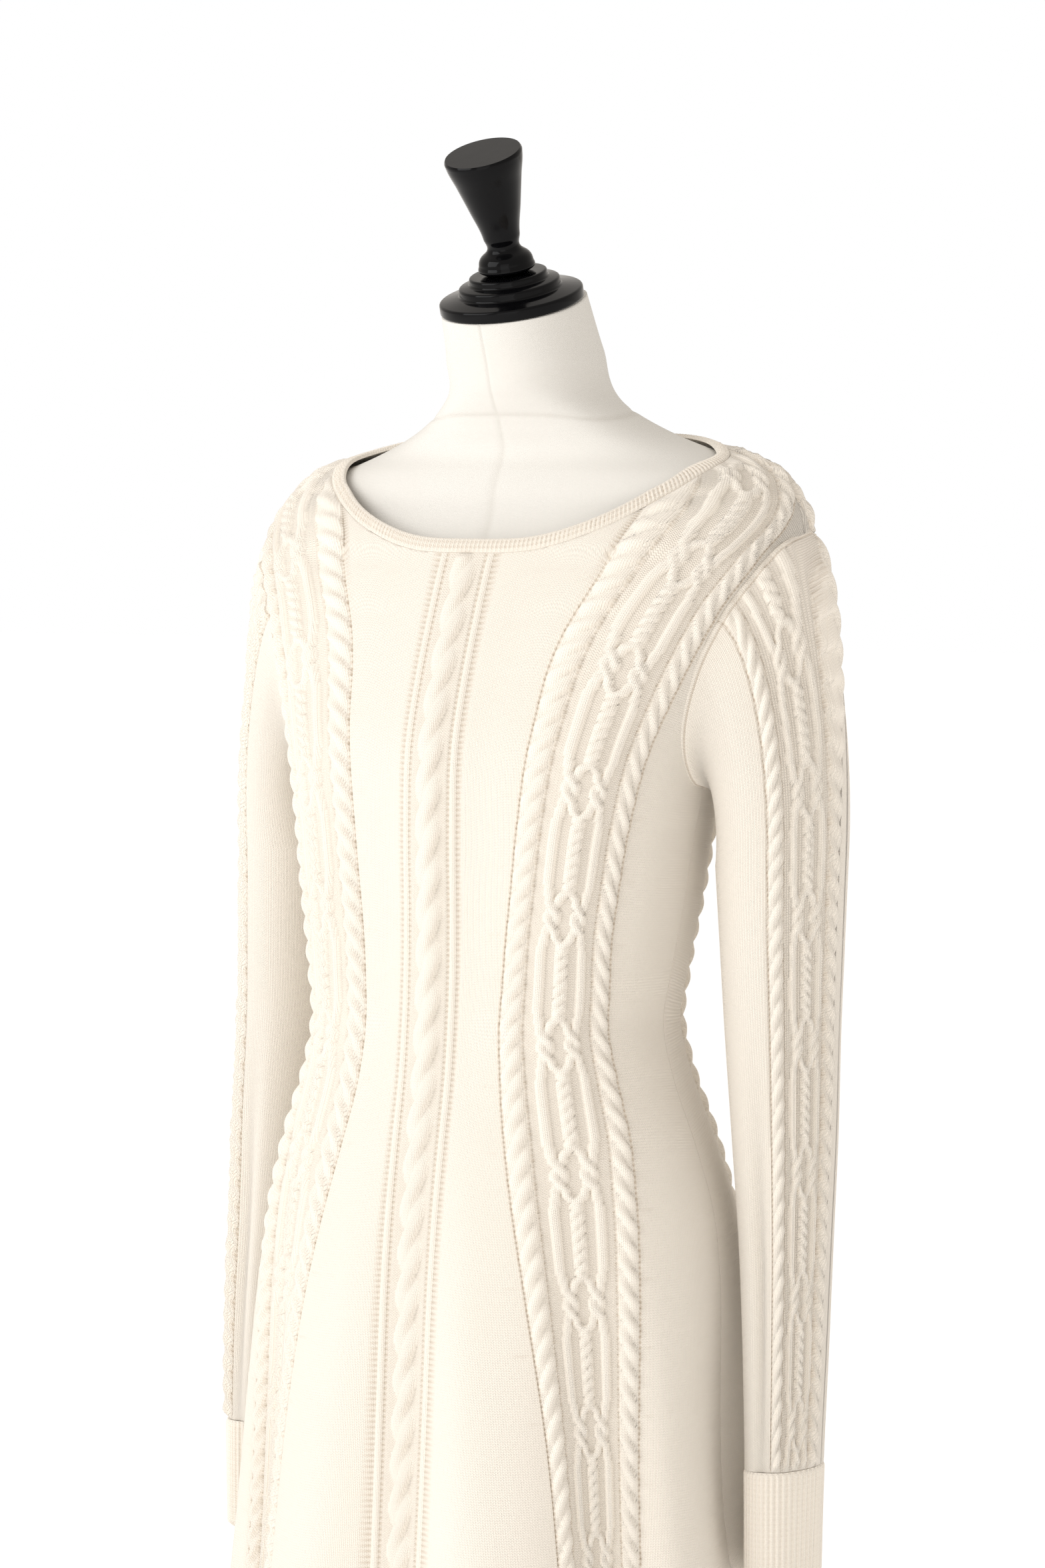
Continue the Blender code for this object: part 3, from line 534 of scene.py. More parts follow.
def shell(name, outer, inner, uv, values, material, wrap=None, step=4):
    """A thin closed cloth shell: the fine outer grid, a coarser inner grid turned inwards and
    edge strips. Grids are [column, row]; wrap is the cloth's width where the last column
    joins the first."""
    n_col, n_row = outer.shape[:2]
    tube = wrap is not None
    across = np.arange(0, n_col, step) if tube else every(n_col, step)
    along = every(n_row, step)
    outside = np.arange(n_col * n_row).reshape(n_col, n_row)
    coarse = inner[np.ix_(across, along)]
    inside = n_col * n_row + np.arange(coarse[..., 0].size).reshape(len(across), len(along))
    verts = np.vstack([outer.reshape(-1, 3), coarse.reshape(-1, 3)])
    uv_inside = uv[np.ix_(across, along)]
    grids = (outside, inside)
    maps = (uv, uv_inside)
    if tube:
        grids = tuple(around(grid) for grid in grids)
        maps = tuple(around(grid, np.array([wrap, 0.0])) for grid in maps)
    quads = np.vstack([corners(grids[0]), corners(grids[1])[:, ::-1]])
    quad_uv = np.vstack([corners(maps[0]), corners(maps[1])[:, ::-1]])
    rings = (outside[:, 0], outside[:, -1], inside[:, 0], inside[:, -1])
    kept = across
    if tube:
        rings = tuple(np.append(ring, ring[0]) for ring in rings)
        kept = np.append(across, n_col)
    parts = [strip(rings[0], kept, rings[2], False), strip(rings[1], kept, rings[3], True)]
    if not tube:
        parts += [strip(outside[0], along, inside[0], True), strip(outside[-1], along, inside[-1], False)]
    tris = np.vstack(parts)
    i, j = n_col // 2, n_row // 2
    cell = np.cross(outer[i + 1, j] - outer[i, j], outer[i, j + 1] - outer[i, j])
    if np.dot(cell, outer[i, j] - inner[i, j]) < 0.0:
        quads, quad_uv, tris = quads[:, ::-1], quad_uv[:, ::-1], tris[:, ::-1]
    point_uv = np.vstack([uv.reshape(-1, 2), uv_inside.reshape(-1, 2)])
    full_uv = np.vstack([quad_uv.reshape(-1, 2), point_uv[tris].reshape(-1, 2)])
    plain = np.zeros(coarse[..., 0].size)
    full = {key: np.concatenate([value.ravel(), plain]) for key, value in values.items()}
    thing = build_mesh(name, verts, quads, tris, full_uv, full)
    thing.data.set_sharp_from_angle(angle=math.radians(RIM_ANGLE))
    thing.data.materials.append(material)
    return thing


def grid_normal(grid):
    """Unit normals of a grid of points, from its own differences."""
    normal = np.cross(np.gradient(grid, axis=0), np.gradient(grid, axis=1))
    return normal / np.maximum(np.linalg.norm(normal, axis=-1, keepdims=True), 1e-12)


def turned(name, profile, origin, angle, sides, material):
    """A turned solid: a profile of (radius, distance along the axis) carried round an axis
    that leans forward by angle."""
    turn = np.arange(sides) * 2.0 * np.pi / sides
    lean = np.array([0.0, -math.sin(angle), math.cos(angle)])
    ahead = np.array([0.0, -math.cos(angle), -math.sin(angle)])
    side = np.array([1.0, 0.0, 0.0])
    circle = np.cos(turn)[:, None] * side - np.sin(turn)[:, None] * ahead
    radius, along = np.array(profile).T
    grid = origin + along[None, :, None] * lean + radius[None, :, None] * circle[:, None, :]
    return capped(name, grid, material)


def capped(name, grid, material):
    """A tube of rings, [side, ring], closed by a fan at each end."""
    sides, rings = grid.shape[:2]
    index = np.arange(sides * rings).reshape(sides, rings)
    verts = np.vstack([grid.reshape(-1, 3), grid[:, 0].mean(axis=0), grid[:, -1].mean(axis=0)])
    low = np.full(sides, sides * rings)
    high = low + 1
    after = np.roll(index, -1, axis=0)
    tris = np.vstack([
        np.stack([after[:, 0], index[:, 0], low], -1), np.stack([index[:, -1], after[:, -1], high], -1)])
    thing = build_mesh(name, verts, corners(around(index)), tris)
    thing.data.materials.append(material)
    return thing


# ---------------------------------------------------------------- materials
def new_group(name, inputs, outputs):
    """An empty shader node group with float or colour sockets."""
    group = bpy.data.node_groups.new(name, "ShaderNodeTree")
    for label, kind, value in inputs:
        socket = group.interface.new_socket(label, in_out="INPUT", socket_type=kind)
        socket.default_value = value
    for label, kind in outputs:
        group.interface.new_socket(label, in_out="OUTPUT", socket_type=kind)
    return group, group.nodes.new("NodeGroupInput"), group.nodes.new("NodeGroupOutput")


def math_node(tree, operation, a, b=None, clamp=False):
    """One Math node fed by sockets or numbers; returns its output."""
    node = tree.nodes.new("ShaderNodeMath")
    node.operation = operation
    node.use_clamp = clamp
    for socket, value in zip(node.inputs, (a, b)):
        if value is None:
            continue
        if isinstance(value, (int, float)):
            socket.default_value = value
        else:
            tree.links.new(value, socket)
    return node.outputs[0]


def scaled(tree, value, by, more):
    """The value times by, plus more."""
    return math_node(tree, "ADD", math_node(tree, "MULTIPLY", value, by), more)


def wave(tree, value, rate):
    """0.5 + 0.5 cos(rate times value)."""
    return scaled(tree, math_node(tree, "COSINE", math_node(tree, "MULTIPLY", value, rate)), 0.5, 0.5)


def blend(tree, factor, first, second):
    """One colour Mix node: the first colour at factor 0, the second at 1. Colours are given
    as numbers or sockets; returns the node's output."""
    node = tree.nodes.new("ShaderNodeMix")
    node.data_type = "RGBA"
    tree.links.new(factor, node.inputs["Factor"])
    for place, colour in ((6, first), (7, second)):
        if isinstance(colour, tuple):
            node.inputs[place].default_value = colour
        else:
            tree.links.new(colour, node.inputs[place])
    return node.outputs[2]


def noise_node(tree, vector, scale, detail=3.0, roughness=0.6):
    """A noise texture's value on the given coordinates."""
    node = tree.nodes.new("ShaderNodeTexNoise")
    node.inputs["Scale"].default_value = scale
    node.inputs["Detail"].default_value = detail
    node.inputs["Roughness"].default_value = roughness
    tree.links.new(vector, node.inputs["Vector"])
    return node.outputs["Fac"]


def knit_group():
    """Stitch height from the cloth's own UV in metres. Knit: in each stitch column two legs
    lean together as a row of V; purl: rows of small arcs; eyelets: a row of dips along the
    hole mask. Fuzz is fine noise. Gap is 1 between the yarns and 0 on top of them."""
    number = "NodeSocketFloat"
    group, given, out = new_group(
        "knit stitches",
        [("Stitch Width", number, STITCH_WIDTH), ("Stitch Height", number, STITCH_HEIGHT),
         ("Purl", number, 0.0), ("Hole", number, 0.0)],
        [("Height", number), ("Gap", number), ("Eyelets", number)])
    whole_turn = 2.0 * math.pi
    uv = group.nodes.new("ShaderNodeUVMap")
    uv.uv_map = "cloth"
    split = group.nodes.new("ShaderNodeSeparateXYZ")
    group.links.new(uv.outputs["UV"], split.inputs[0])
    u = math_node(group, "DIVIDE", split.outputs["X"], given.outputs["Stitch Width"])
    v = math_node(group, "DIVIDE", split.outputs["Y"], given.outputs["Stitch Height"])
    leg = math_node(group, "MULTIPLY", math_node(group, "PINGPONG", u, 0.5), 2.0)
    across = math_node(group, "SINE", math_node(group, "MULTIPLY", leg, math.pi))
    phase = math_node(group, "ADD", v, math_node(group, "MULTIPLY", leg, 0.85))
    yarn = wave(group, phase, whole_turn)
    knit = math_node(group, "MULTIPLY", math_node(group, "POWER", across, 0.6),
                     scaled(group, yarn, 0.55, 0.45))
    arc = math_node(group, "COSINE", math_node(group, "MULTIPLY", u, whole_turn))
    row = math_node(group, "ADD", v, math_node(group, "MULTIPLY", arc, 0.22))
    purl = math_node(group, "MULTIPLY", wave(group, row, whole_turn), 1.25)
    pick = group.nodes.new("ShaderNodeMix")
    group.links.new(given.outputs["Purl"], pick.inputs["Factor"])
    group.links.new(knit, pick.inputs["A"])
    group.links.new(purl, pick.inputs["B"])
    coordinates = group.nodes.new("ShaderNodeTexCoord")
    fuzz = noise_node(group, coordinates.outputs["Object"], 1400.0)
    dots = math_node(group, "POWER", wave(group, split.outputs["Y"], whole_turn / HOLE_STEP), 1.6)
    # the eyelets dip the bump and also drive the painted shade inside them in the wool's colour
    eyelets = math_node(group, "MULTIPLY", given.outputs["Hole"], scaled(group, dots, 0.70, 0.30))
    height = math_node(group, "ADD", pick.outputs["Result"], math_node(group, "MULTIPLY", fuzz, 0.3))
    height = math_node(group, "SUBTRACT", height, math_node(group, "MULTIPLY", eyelets, 1.4))
    # the gap drives the painted shade between the yarns in the wool's colour
    gap = math_node(group, "SUBTRACT", 1.0, pick.outputs["Result"], clamp=True)
    for label, value in (("Height", height), ("Gap", gap), ("Eyelets", eyelets)):
        group.links.new(value, out.inputs[label])
    return group


def tone_and_shade_group():
    """Wool colour with painted shade: the yarn colour, darkened as painted shade towards the
    recess shade colour in gaps and purl ground and to the darker eyelet shade colour in
    eyelets, with soft clouds of lighter and darker wool."""
    number, colour, white = "NodeSocketFloat", "NodeSocketColor", (1, 1, 1, 1)
    group, given, out = new_group(
        "wool tone and painted shade",
        [("Yarn", colour, white), ("Recess Shade", colour, white), ("Eyelet Shade", colour, white),
         ("Gap", number, 0.0), ("Purl", number, 0.0), ("Hole", number, 0.0)],
        [("Color", colour)])
    coordinates = group.nodes.new("ShaderNodeTexCoord")
    clouds = noise_node(group, coordinates.outputs["Object"], 9.0, 2.0)
    clouds = math_node(group, "MULTIPLY", math_node(group, "SUBTRACT", clouds, 0.5), 0.16)
    # painted shade: darker in the gaps between the yarns and on the recessed purl ground
    shade = math_node(group, "MULTIPLY", given.outputs["Gap"], 0.16)
    shade = math_node(group, "ADD", shade, math_node(group, "MULTIPLY", given.outputs["Purl"], 0.16))
    shade = math_node(group, "ADD", shade, clouds, clamp=True)
    wool = blend(group, shade, given.outputs["Yarn"], given.outputs["Recess Shade"])
    # painted shade inside the eyelets, hole lines, marks, seams and rib gaps
    holes = math_node(group, "MULTIPLY", given.outputs["Hole"], 0.85, clamp=True)
    group.links.new(blend(group, holes, wool, given.outputs["Eyelet Shade"]), out.inputs["Color"])
    return group


def new_material(name, roughness):
    """A material with a Principled BSDF; returns it, its tree and the shader."""
    material = bpy.data.materials.new(name)
    material.use_nodes = True
    tree = material.node_tree
    shader = tree.nodes["Principled BSDF"]
    shader.inputs["Roughness"].default_value = roughness
    return material, tree, shader


def bump_into(tree, shader, height, distance, strength=1.0):
    """Feeds a height value through a Bump node into the shader's normal."""
    bump = tree.nodes.new("ShaderNodeBump")
    bump.inputs["Distance"].default_value = distance
    bump.inputs["Strength"].default_value = strength
    tree.links.new(height, bump.inputs["Height"])
    tree.links.new(bump.outputs["Normal"], shader.inputs["Normal"])


def attribute_node(tree, name):
    """The value of a point attribute."""
    node = tree.nodes.new("ShaderNodeAttribute")
    node.attribute_name = name
    return node.outputs["Fac"]


def wool_material(name, groups, depth):
    """Cream wool: stitch bump, and tone with painted shade in gaps, purl ground and eyelets, from the groups;
    matt with a soft sheen.
    """
    material, tree, shader = new_material(name, 0.92)
    knit = tree.nodes.new("ShaderNodeGroup")
    knit.node_tree = groups["knit"]
    tone = tree.nodes.new("ShaderNodeGroup")
    tone.node_tree = groups["tone"]
    knit.inputs["Stitch Width"].default_value = STITCH_WIDTH
    knit.inputs["Stitch Height"].default_value = STITCH_HEIGHT
    purl, hole = attribute_node(tree, "purl"), attribute_node(tree, "hole")
    tree.links.new(purl, knit.inputs["Purl"])
    tree.links.new(hole, knit.inputs["Hole"])
    tree.links.new(purl, tone.inputs["Purl"])
    # gaps, purl ground and eyelets darken the base colour: painted shade
    tree.links.new(knit.outputs["Gap"], tone.inputs["Gap"])
    tree.links.new(knit.outputs["Eyelets"], tone.inputs["Hole"])
    for label, colour in (("Yarn", YARN), ("Recess Shade", RECESS_SHADE), ("Eyelet Shade", EYELET_SHADE)):
        tone.inputs[label].default_value = (*colour, 1.0)
    tree.links.new(tone.outputs["Color"], shader.inputs["Base Color"])
    shader.inputs["Specular IOR Level"].default_value = 0.15
    shader.inputs["Sheen Weight"].default_value = 0.25
    shader.inputs["Sheen Roughness"].default_value = 0.6
    bump_into(tree, shader, knit.outputs["Height"], depth)
    return material


def canvas_material():
    """Off-white plain-woven canvas: two crossed thread waves as bump, faint clouds of tone."""
    material, tree, shader = new_material("form canvas", 0.85)
    coordinates = tree.nodes.new("ShaderNodeTexCoord")
    split = tree.nodes.new("ShaderNodeSeparateXYZ")
    tree.links.new(coordinates.outputs["Object"], split.inputs[0])
    thread = 2.0 * math.pi / THREAD_STEP
    aside = math_node(tree, "ADD", split.outputs["X"], math_node(tree, "MULTIPLY", split.outputs["Y"], 0.6))
    warp, weft = (math_node(tree, "SINE", math_node(tree, "MULTIPLY", way, thread))
                  for way in (aside, split.outputs["Z"]))
    weave = math_node(tree, "MULTIPLY", warp, weft)
    fleck = noise_node(tree, coordinates.outputs["Object"], 700.0)
    height = math_node(tree, "ADD", math_node(tree, "MULTIPLY", weave, 0.4), fleck)
    clouds = noise_node(tree, coordinates.outputs["Object"], 14.0, 3.0)
    seam = attribute_node(tree, "seam")
    factor = math_node(tree, "ADD", math_node(tree, "MULTIPLY", clouds, 0.20),
                       math_node(tree, "MULTIPLY", seam, 0.30), clamp=True)
    colour = blend(tree, factor, (*CANVAS_LIGHT, 1.0), (*CANVAS_DARK, 1.0))
    tree.links.new(colour, shader.inputs["Base Color"])
    shader.inputs["Specular IOR Level"].default_value = 0.2
    bump_into(tree, shader, height, 0.00025, 0.6)
    return material


def lacquer_material():
    """Gloss black lacquer on turned wood: faint polishing unevenness in gloss and bump."""
    material, tree, shader = new_material("black lacquer", 0.12)
    coordinates = tree.nodes.new("ShaderNodeTexCoord")
    haze = noise_node(tree, coordinates.outputs["Object"], 60.0)
    tree.links.new(scaled(tree, haze, 0.10, 0.06), shader.inputs["Roughness"])
    shader.inputs["Base Color"].default_value = (0.002, 0.002, 0.0025, 1.0)
    shader.inputs["Specular IOR Level"].default_value = 0.12
    bump_into(tree, shader, noise_node(tree, coordinates.outputs["Object"], 25.0), 0.0006, 0.25)
    return material


def metal_material():
    """Satin black paint on steel, with a fine orange-peel bump."""
    material, tree, shader = new_material("satin black metal", 0.4)
    coordinates = tree.nodes.new("ShaderNodeTexCoord")
    haze = noise_node(tree, coordinates.outputs["Object"], 90.0)
    tree.links.new(scaled(tree, haze, 0.18, 0.32), shader.inputs["Roughness"])
    shader.inputs["Base Color"].default_value = (0.028, 0.028, 0.030, 1.0)
    shader.inputs["Metallic"].default_value = 0.6
    bump_into(tree, shader, noise_node(tree, coordinates.outputs["Object"], 500.0), 0.0002, 0.3)
    return material


YARN = (0.870, 0.812, 0.728)
# painted shade colours, next two lines: the shade in the gaps between yarns and on the purl ground, then the
# darker shade inside eyelets, hole lines, marks, seams and rib gaps
RECESS_SHADE = (0.720, 0.625, 0.510)
EYELET_SHADE = (0.520, 0.420, 0.310)
CANVAS_LIGHT = (0.735, 0.715, 0.675)
CANVAS_DARK = (0.57, 0.54, 0.49)
THREAD_STEP = 0.0011          # of the canvas's weave
GROUPS = {"knit": knit_group(), "tone": tone_and_shade_group()}
KNIT = wool_material("cream knit", GROUPS, 0.00040)
RIB = wool_material("cream rib", GROUPS, 0.00035)
CANVAS = canvas_material()
LACQUER = lacquer_material()
METAL = metal_material()


# ---------------------------------------------------------------- front and back
KNEE = 0.62                   # the rows are coarser below this height
SIDE_MARGIN = 0.03            # angles: the outer hole line stays this far from the side edge
PANEL_LEAST = 0.25            # and the mesh of the cable panel is at least this wide
ROPE_SHARES = (0.12, 0.50, 0.88)    # where the inner rope, the chain and the outer rope run
MARK_DEPTH = 0.0005
EDGE_ZONE = 0.08              # the relief fades over this share of the side zone
TOP_FADE = 0.004              # and over this height below the neck


def column_places(counts):
    """Column coordinates from 0 at the centre line to 4 at the side edge, with the given
    number of steps in each of the four zones."""
    steps = [np.linspace(k, k + 1.0, n + 1)[:-1] for k, n in enumerate(counts)]
    return np.concatenate(steps + [[4.0]])


def zone_edges(z, rows, front):
    """Angles from the centre line of the zones' edges at each point: centre line, centre
    panel, inner and outer hole lines, side edge."""
    end = side_end(rows, front)
    centre = CENTRE_PANEL / smooth(SECTIONS, 1, z)
    outer = np.minimum(hole_line(2, z), end - SIDE_MARGIN)
    inner = np.minimum(hole_line(1, z), outer - PANEL_LEAST)
    return np.stack([0.0 * end, centre, inner, outer, end])


def panelled_rows(fine, coarse):
    """Row heights on the side line: coarse below the knee, fine above, with rows exactly at
    the armhole's ends."""
    parts = []
    for low, high, step in ((HEM, KNEE, coarse), (KNEE, ARMPIT, fine), (ARMPIT, ARM_TOP, fine),
                            (ARM_TOP, NECK_SIDE, fine)):
        parts.append(np.linspace(low, high, int(round((high - low) / step)) + 1)[:-1])
    return np.concatenate(parts + [[NECK_SIDE]])


def centre_and_turn(hand, front):
    """The angle of the piece's centre line, and which way its angles run on this hand."""
    return (-np.pi / 2.0, hand) if front else (np.pi / 2.0, -hand)


def panelled_half(columns, rows, hand, front):
    """One half of the front or back on the plain surface: each point's angle, height, angle
    from the centre line and zone coordinate."""
    c = columns[:, None] + 0.0 * rows[None, :]
    r = rows[None, :] + 0.0 * columns[:, None]
    facing, turn = centre_and_turn(hand, front)
    z = r
    for _ in range(3):
        edges = zone_edges(z, r, front)
        k = np.minimum(c.astype(int), 3)
        low = np.take_along_axis(edges, k[None], 0)[0]
        high = np.take_along_axis(edges, k[None] + 1, 0)[0]
        away = low + (c - k) * (high - low)
        phi = facing + turn * away
        z = rows_to_heights(phi, r)
    return phi, z, away, c


def cloth_run(point, z, facing, turn, share):
    """Length along a line of the cable panel, share of the way from its inner to its outer
    edge, carried square to the line to all points. It is counted from the knot height: by
    height below it, by cloth length above it."""
    heights = np.linspace(HEM, NECK_HIGHEST, 900)
    inner, outer = hole_line(1, heights), hole_line(2, heights)
    line = body(facing + turn * (inner + share * (outer - inner)), heights)
    length = np.append(0.0, np.cumsum(np.linalg.norm(np.diff(line, axis=0), axis=-1)))
    run = np.where(heights < KNOT_HEIGHT, heights - KNOT_HEIGHT,
                   length - np.interp(KNOT_HEIGHT, heights, length))
    ahead = np.gradient(line, axis=0)
    ahead /= np.linalg.norm(ahead, axis=-1, keepdims=True)
    aside = sum((point[..., k] - np.interp(z, heights, line[:, k])) * np.interp(z, heights, ahead[:, k])
                for k in range(3))
    return np.interp(z, heights, run) + aside


def panelled(name, columns, rows, front):
    """The front or the back as three shells: the centre with its plain gores, and a side
    shell each side, parted along the inner hole lines."""
    halves = {}
    for hand in (-1.0, 1.0):
        phi, z, away, c = panelled_half(columns, rows, hand, front)
        point = body(phi, z)
        normal = body_normal(phi, z)
        facing, turn = centre_and_turn(hand, front)
        inner_run, run, outer_run = (cloth_run(point, z, facing, turn, share) for share in ROPE_SHARES)
        length = z + (run + KNOT_HEIGHT - z) * ease(c - 1.0)
        half = smooth(SECTIONS, 1, z)
        x = away * half
        inner_line, outer_line = hole_line(1, z) * half, hole_line(2, z) * half
        s = (x - inner_line) / (outer_line - inner_line)
        in_centre = c <= 1.0
        in_panel = (c >= 2.0) & (s <= 1.0)
        middle = centre_relief(hand * c * CENTRE_PANEL, z)
        cables = panel_relief(np.clip(s, 0.0, 1.0), inner_run, outer_run, run / LINK)
        height, purl, hole = (np.where(in_centre, one, np.where(in_panel, other, 0.0))
                              for one, other in zip(middle, cables))
        dips = np.where((c > 1.0) & (c < 2.0), marks(inner_line - x, length), 0.0)
        dips = dips + np.where(s > 1.0, marks(x - outer_line, length), 0.0)
        # the fashioning marks' dips are darkened too: painted shade in them
        hole = np.maximum(hole, 0.5 * dips)
        on_edge = ease((4.0 - c) / EDGE_ZONE) * ease((rows[-1] - rows)[None, :] / TOP_FADE)
        height = (height - MARK_DEPTH * dips) * on_edge
        u_centre = np.where(in_centre, c * CENTRE_PANEL, x)
        u_side = np.where(s <= 1.0, s * PANEL_WIDTH, PANEL_WIDTH + x - outer_line)
        halves[hand] = {
            "outer": point + height[..., None] * normal, "inner": point - WALL * normal,
            "uv_centre": np.stack([hand * u_centre, length], -1),
            "uv_side": np.stack([hand * u_side, length], -1), "purl": purl, "hole": hole,
        }
    split = int(np.argmin(np.abs(columns - 2.0)))

    def part(label, pick, uv):
        values = {"purl": pick("purl"), "hole": pick("hole")}
        thing = shell(label, pick("outer"), pick("inner"), pick(uv), values, KNIT)
        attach(thing, "root")
        return thing

    centre = part(name + "_centre", lambda key: np.concatenate(
        [halves[-1.0][key][1:split + 1][::-1], halves[1.0][key][:split + 1]]), "uv_centre")
    left = part(name + "_left_panel", lambda key: halves[1.0][key][split:], "uv_side")
    right = part(name + "_right_panel", lambda key: halves[-1.0][key][split:], "uv_side")
    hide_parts(name)
    return centre, left, right


FRONT_PARTS = panelled("front", column_places((20, 14, 62, 18)), panelled_rows(0.00145, 0.0026), True)
BACK_PARTS = panelled("back", column_places((14, 9, 40, 12)), panelled_rows(0.0021, 0.0034), False)


# ---------------------------------------------------------------- sleeves
TUCK_OUT = 0.0025             # the sleeve's edge lies this far past the armhole's edge
TUCK_IN = 0.0011              # and this far inside the body's cloth, where the seam holds it
SEAM_PLACE = 0.0034           # the seam's line, along the sleeve from its hidden edge
CABLE_MIDDLE = math.radians(33.0)   # the sleeve's cable panel, forward of its outside
CABLE_HALF = math.radians(36.0)
CABLE_TURN = math.radians(14.0)     # further out than that at the armhole
FOLD_PLACE = math.radians(84.0)     # a long crease runs down the sleeve's front side
FOLD_HALF = 0.42              # its half width as an angle, its depth, middle and half length
FOLD_DEPTH = 0.0075
FOLD_MIDDLE = 0.83
FOLD_REACH = 0.20
SEAM_HALF = 0.0011            # the armhole seam's groove
SEAM_DEPTH = 0.0006
CAP_MARK_DEPTH = 0.0004
SLEEVE_FADE = 0.006           # the relief fades over this length at both ends
SLEEVE_KNOT = 1.232
SLEEVE_GIRTH = 0.044          # the sleeve's mean radius, which spaces its stitches


def armhole_loop(f, hand):
    """The armhole seam, f from 0 at its top, down the front to 0.5 and up the back to 1;
    outer points and the points a wall further in."""
    front = f <= 0.5
    rows = ARM_TOP - (ARM_TOP - ARMPIT) * np.where(front, 2.0 * f, 2.0 - 2.0 * f)
    end = np.where(front, side_end(rows, True), side_end(rows, False))
    phi = np.where(front, -np.pi / 2.0 + end, np.pi / 2.0 - end)
    phi = np.where(hand > 0, phi, np.where(front, -np.pi - phi, np.pi - phi))
    z = rows_to_heights(phi, rows)
    point = body(phi, z)
    return point, point - WALL * body_normal(phi, z)


def sleeve_ring(psi, z, thick, hand):
    """The sleeve's level oval ring: psi runs from the outside, 0, to the front, 90 degrees."""
    closer = 1.0 if hand < 0.0 else 0.0
    half_x = smooth(SLEEVE, 3, z) - closer * smooth(CLOSE, 2, z) - thick
    x = smooth(SLEEVE, 1, z) - closer * smooth(CLOSE, 1, z) + half_x * np.cos(psi)
    y = smooth(SLEEVE, 2, z) - (smooth(SLEEVE, 4, z) - thick) * np.sin(psi)
    return np.stack([hand * x, y, z + 0.0 * psi], -1)


def sleeve_surface(psi, rows, hand):
    """The sleeve from the armhole down: cubic Bezier lines from the armhole to the level
    ring at the cap's end, then level rings. rows run from 0 at the armhole to 1 at the
    cap's end and on to 2 at the cuff."""
    f = psi / (2.0 * np.pi)
    start, start_inner = armhole_loop(f, hand)
    away = start - start_inner
    away /= np.linalg.norm(away, axis=-1, keepdims=True)
    inward = start.mean(axis=0) - start
    inward /= np.linalg.norm(inward, axis=-1, keepdims=True)
    start = start - TUCK_OUT * inward - TUCK_IN * away
    end = sleeve_ring(psi, np.full_like(psi, CAP_END), 0.0, hand)
    lower = sleeve_ring(psi, np.full_like(psi, CAP_END - SLOPE_STEP), 0.0, hand)
    under = (0.5 - 0.5 * np.cos(psi))[:, None]
    leave = start + CAP_LEAVE * inward + CAP_STAND * away
    leave[:, 0] += hand * CAP_BULGE * np.maximum(np.cos(psi), 0.0)
    rise = CAP_RISE * (start[:, 2:] - CAP_END)
    pass_by = end + rise * (end - lower) / SLOPE_STEP + UNDERARM_PUSH * under * away
    t = np.clip(rows, 0.0, 1.0)[None, :, None]
    s = 1.0 - t
    cap = (s ** 3 * start[:, None] + 3.0 * s * s * t * leave[:, None]
           + 3.0 * s * t * t * pass_by[:, None] + t ** 3 * end[:, None])
    z = CAP_END + (CUFF_TOP - CAP_END) * np.clip(rows - 1.0, 0.0, 1.0)
    below = sleeve_ring(psi[:, None] + 0.0 * z[None, :], z[None, :] + 0.0 * psi[:, None], 0.0, hand)
    return np.where((rows > 1.0)[None, :, None], below, cap)


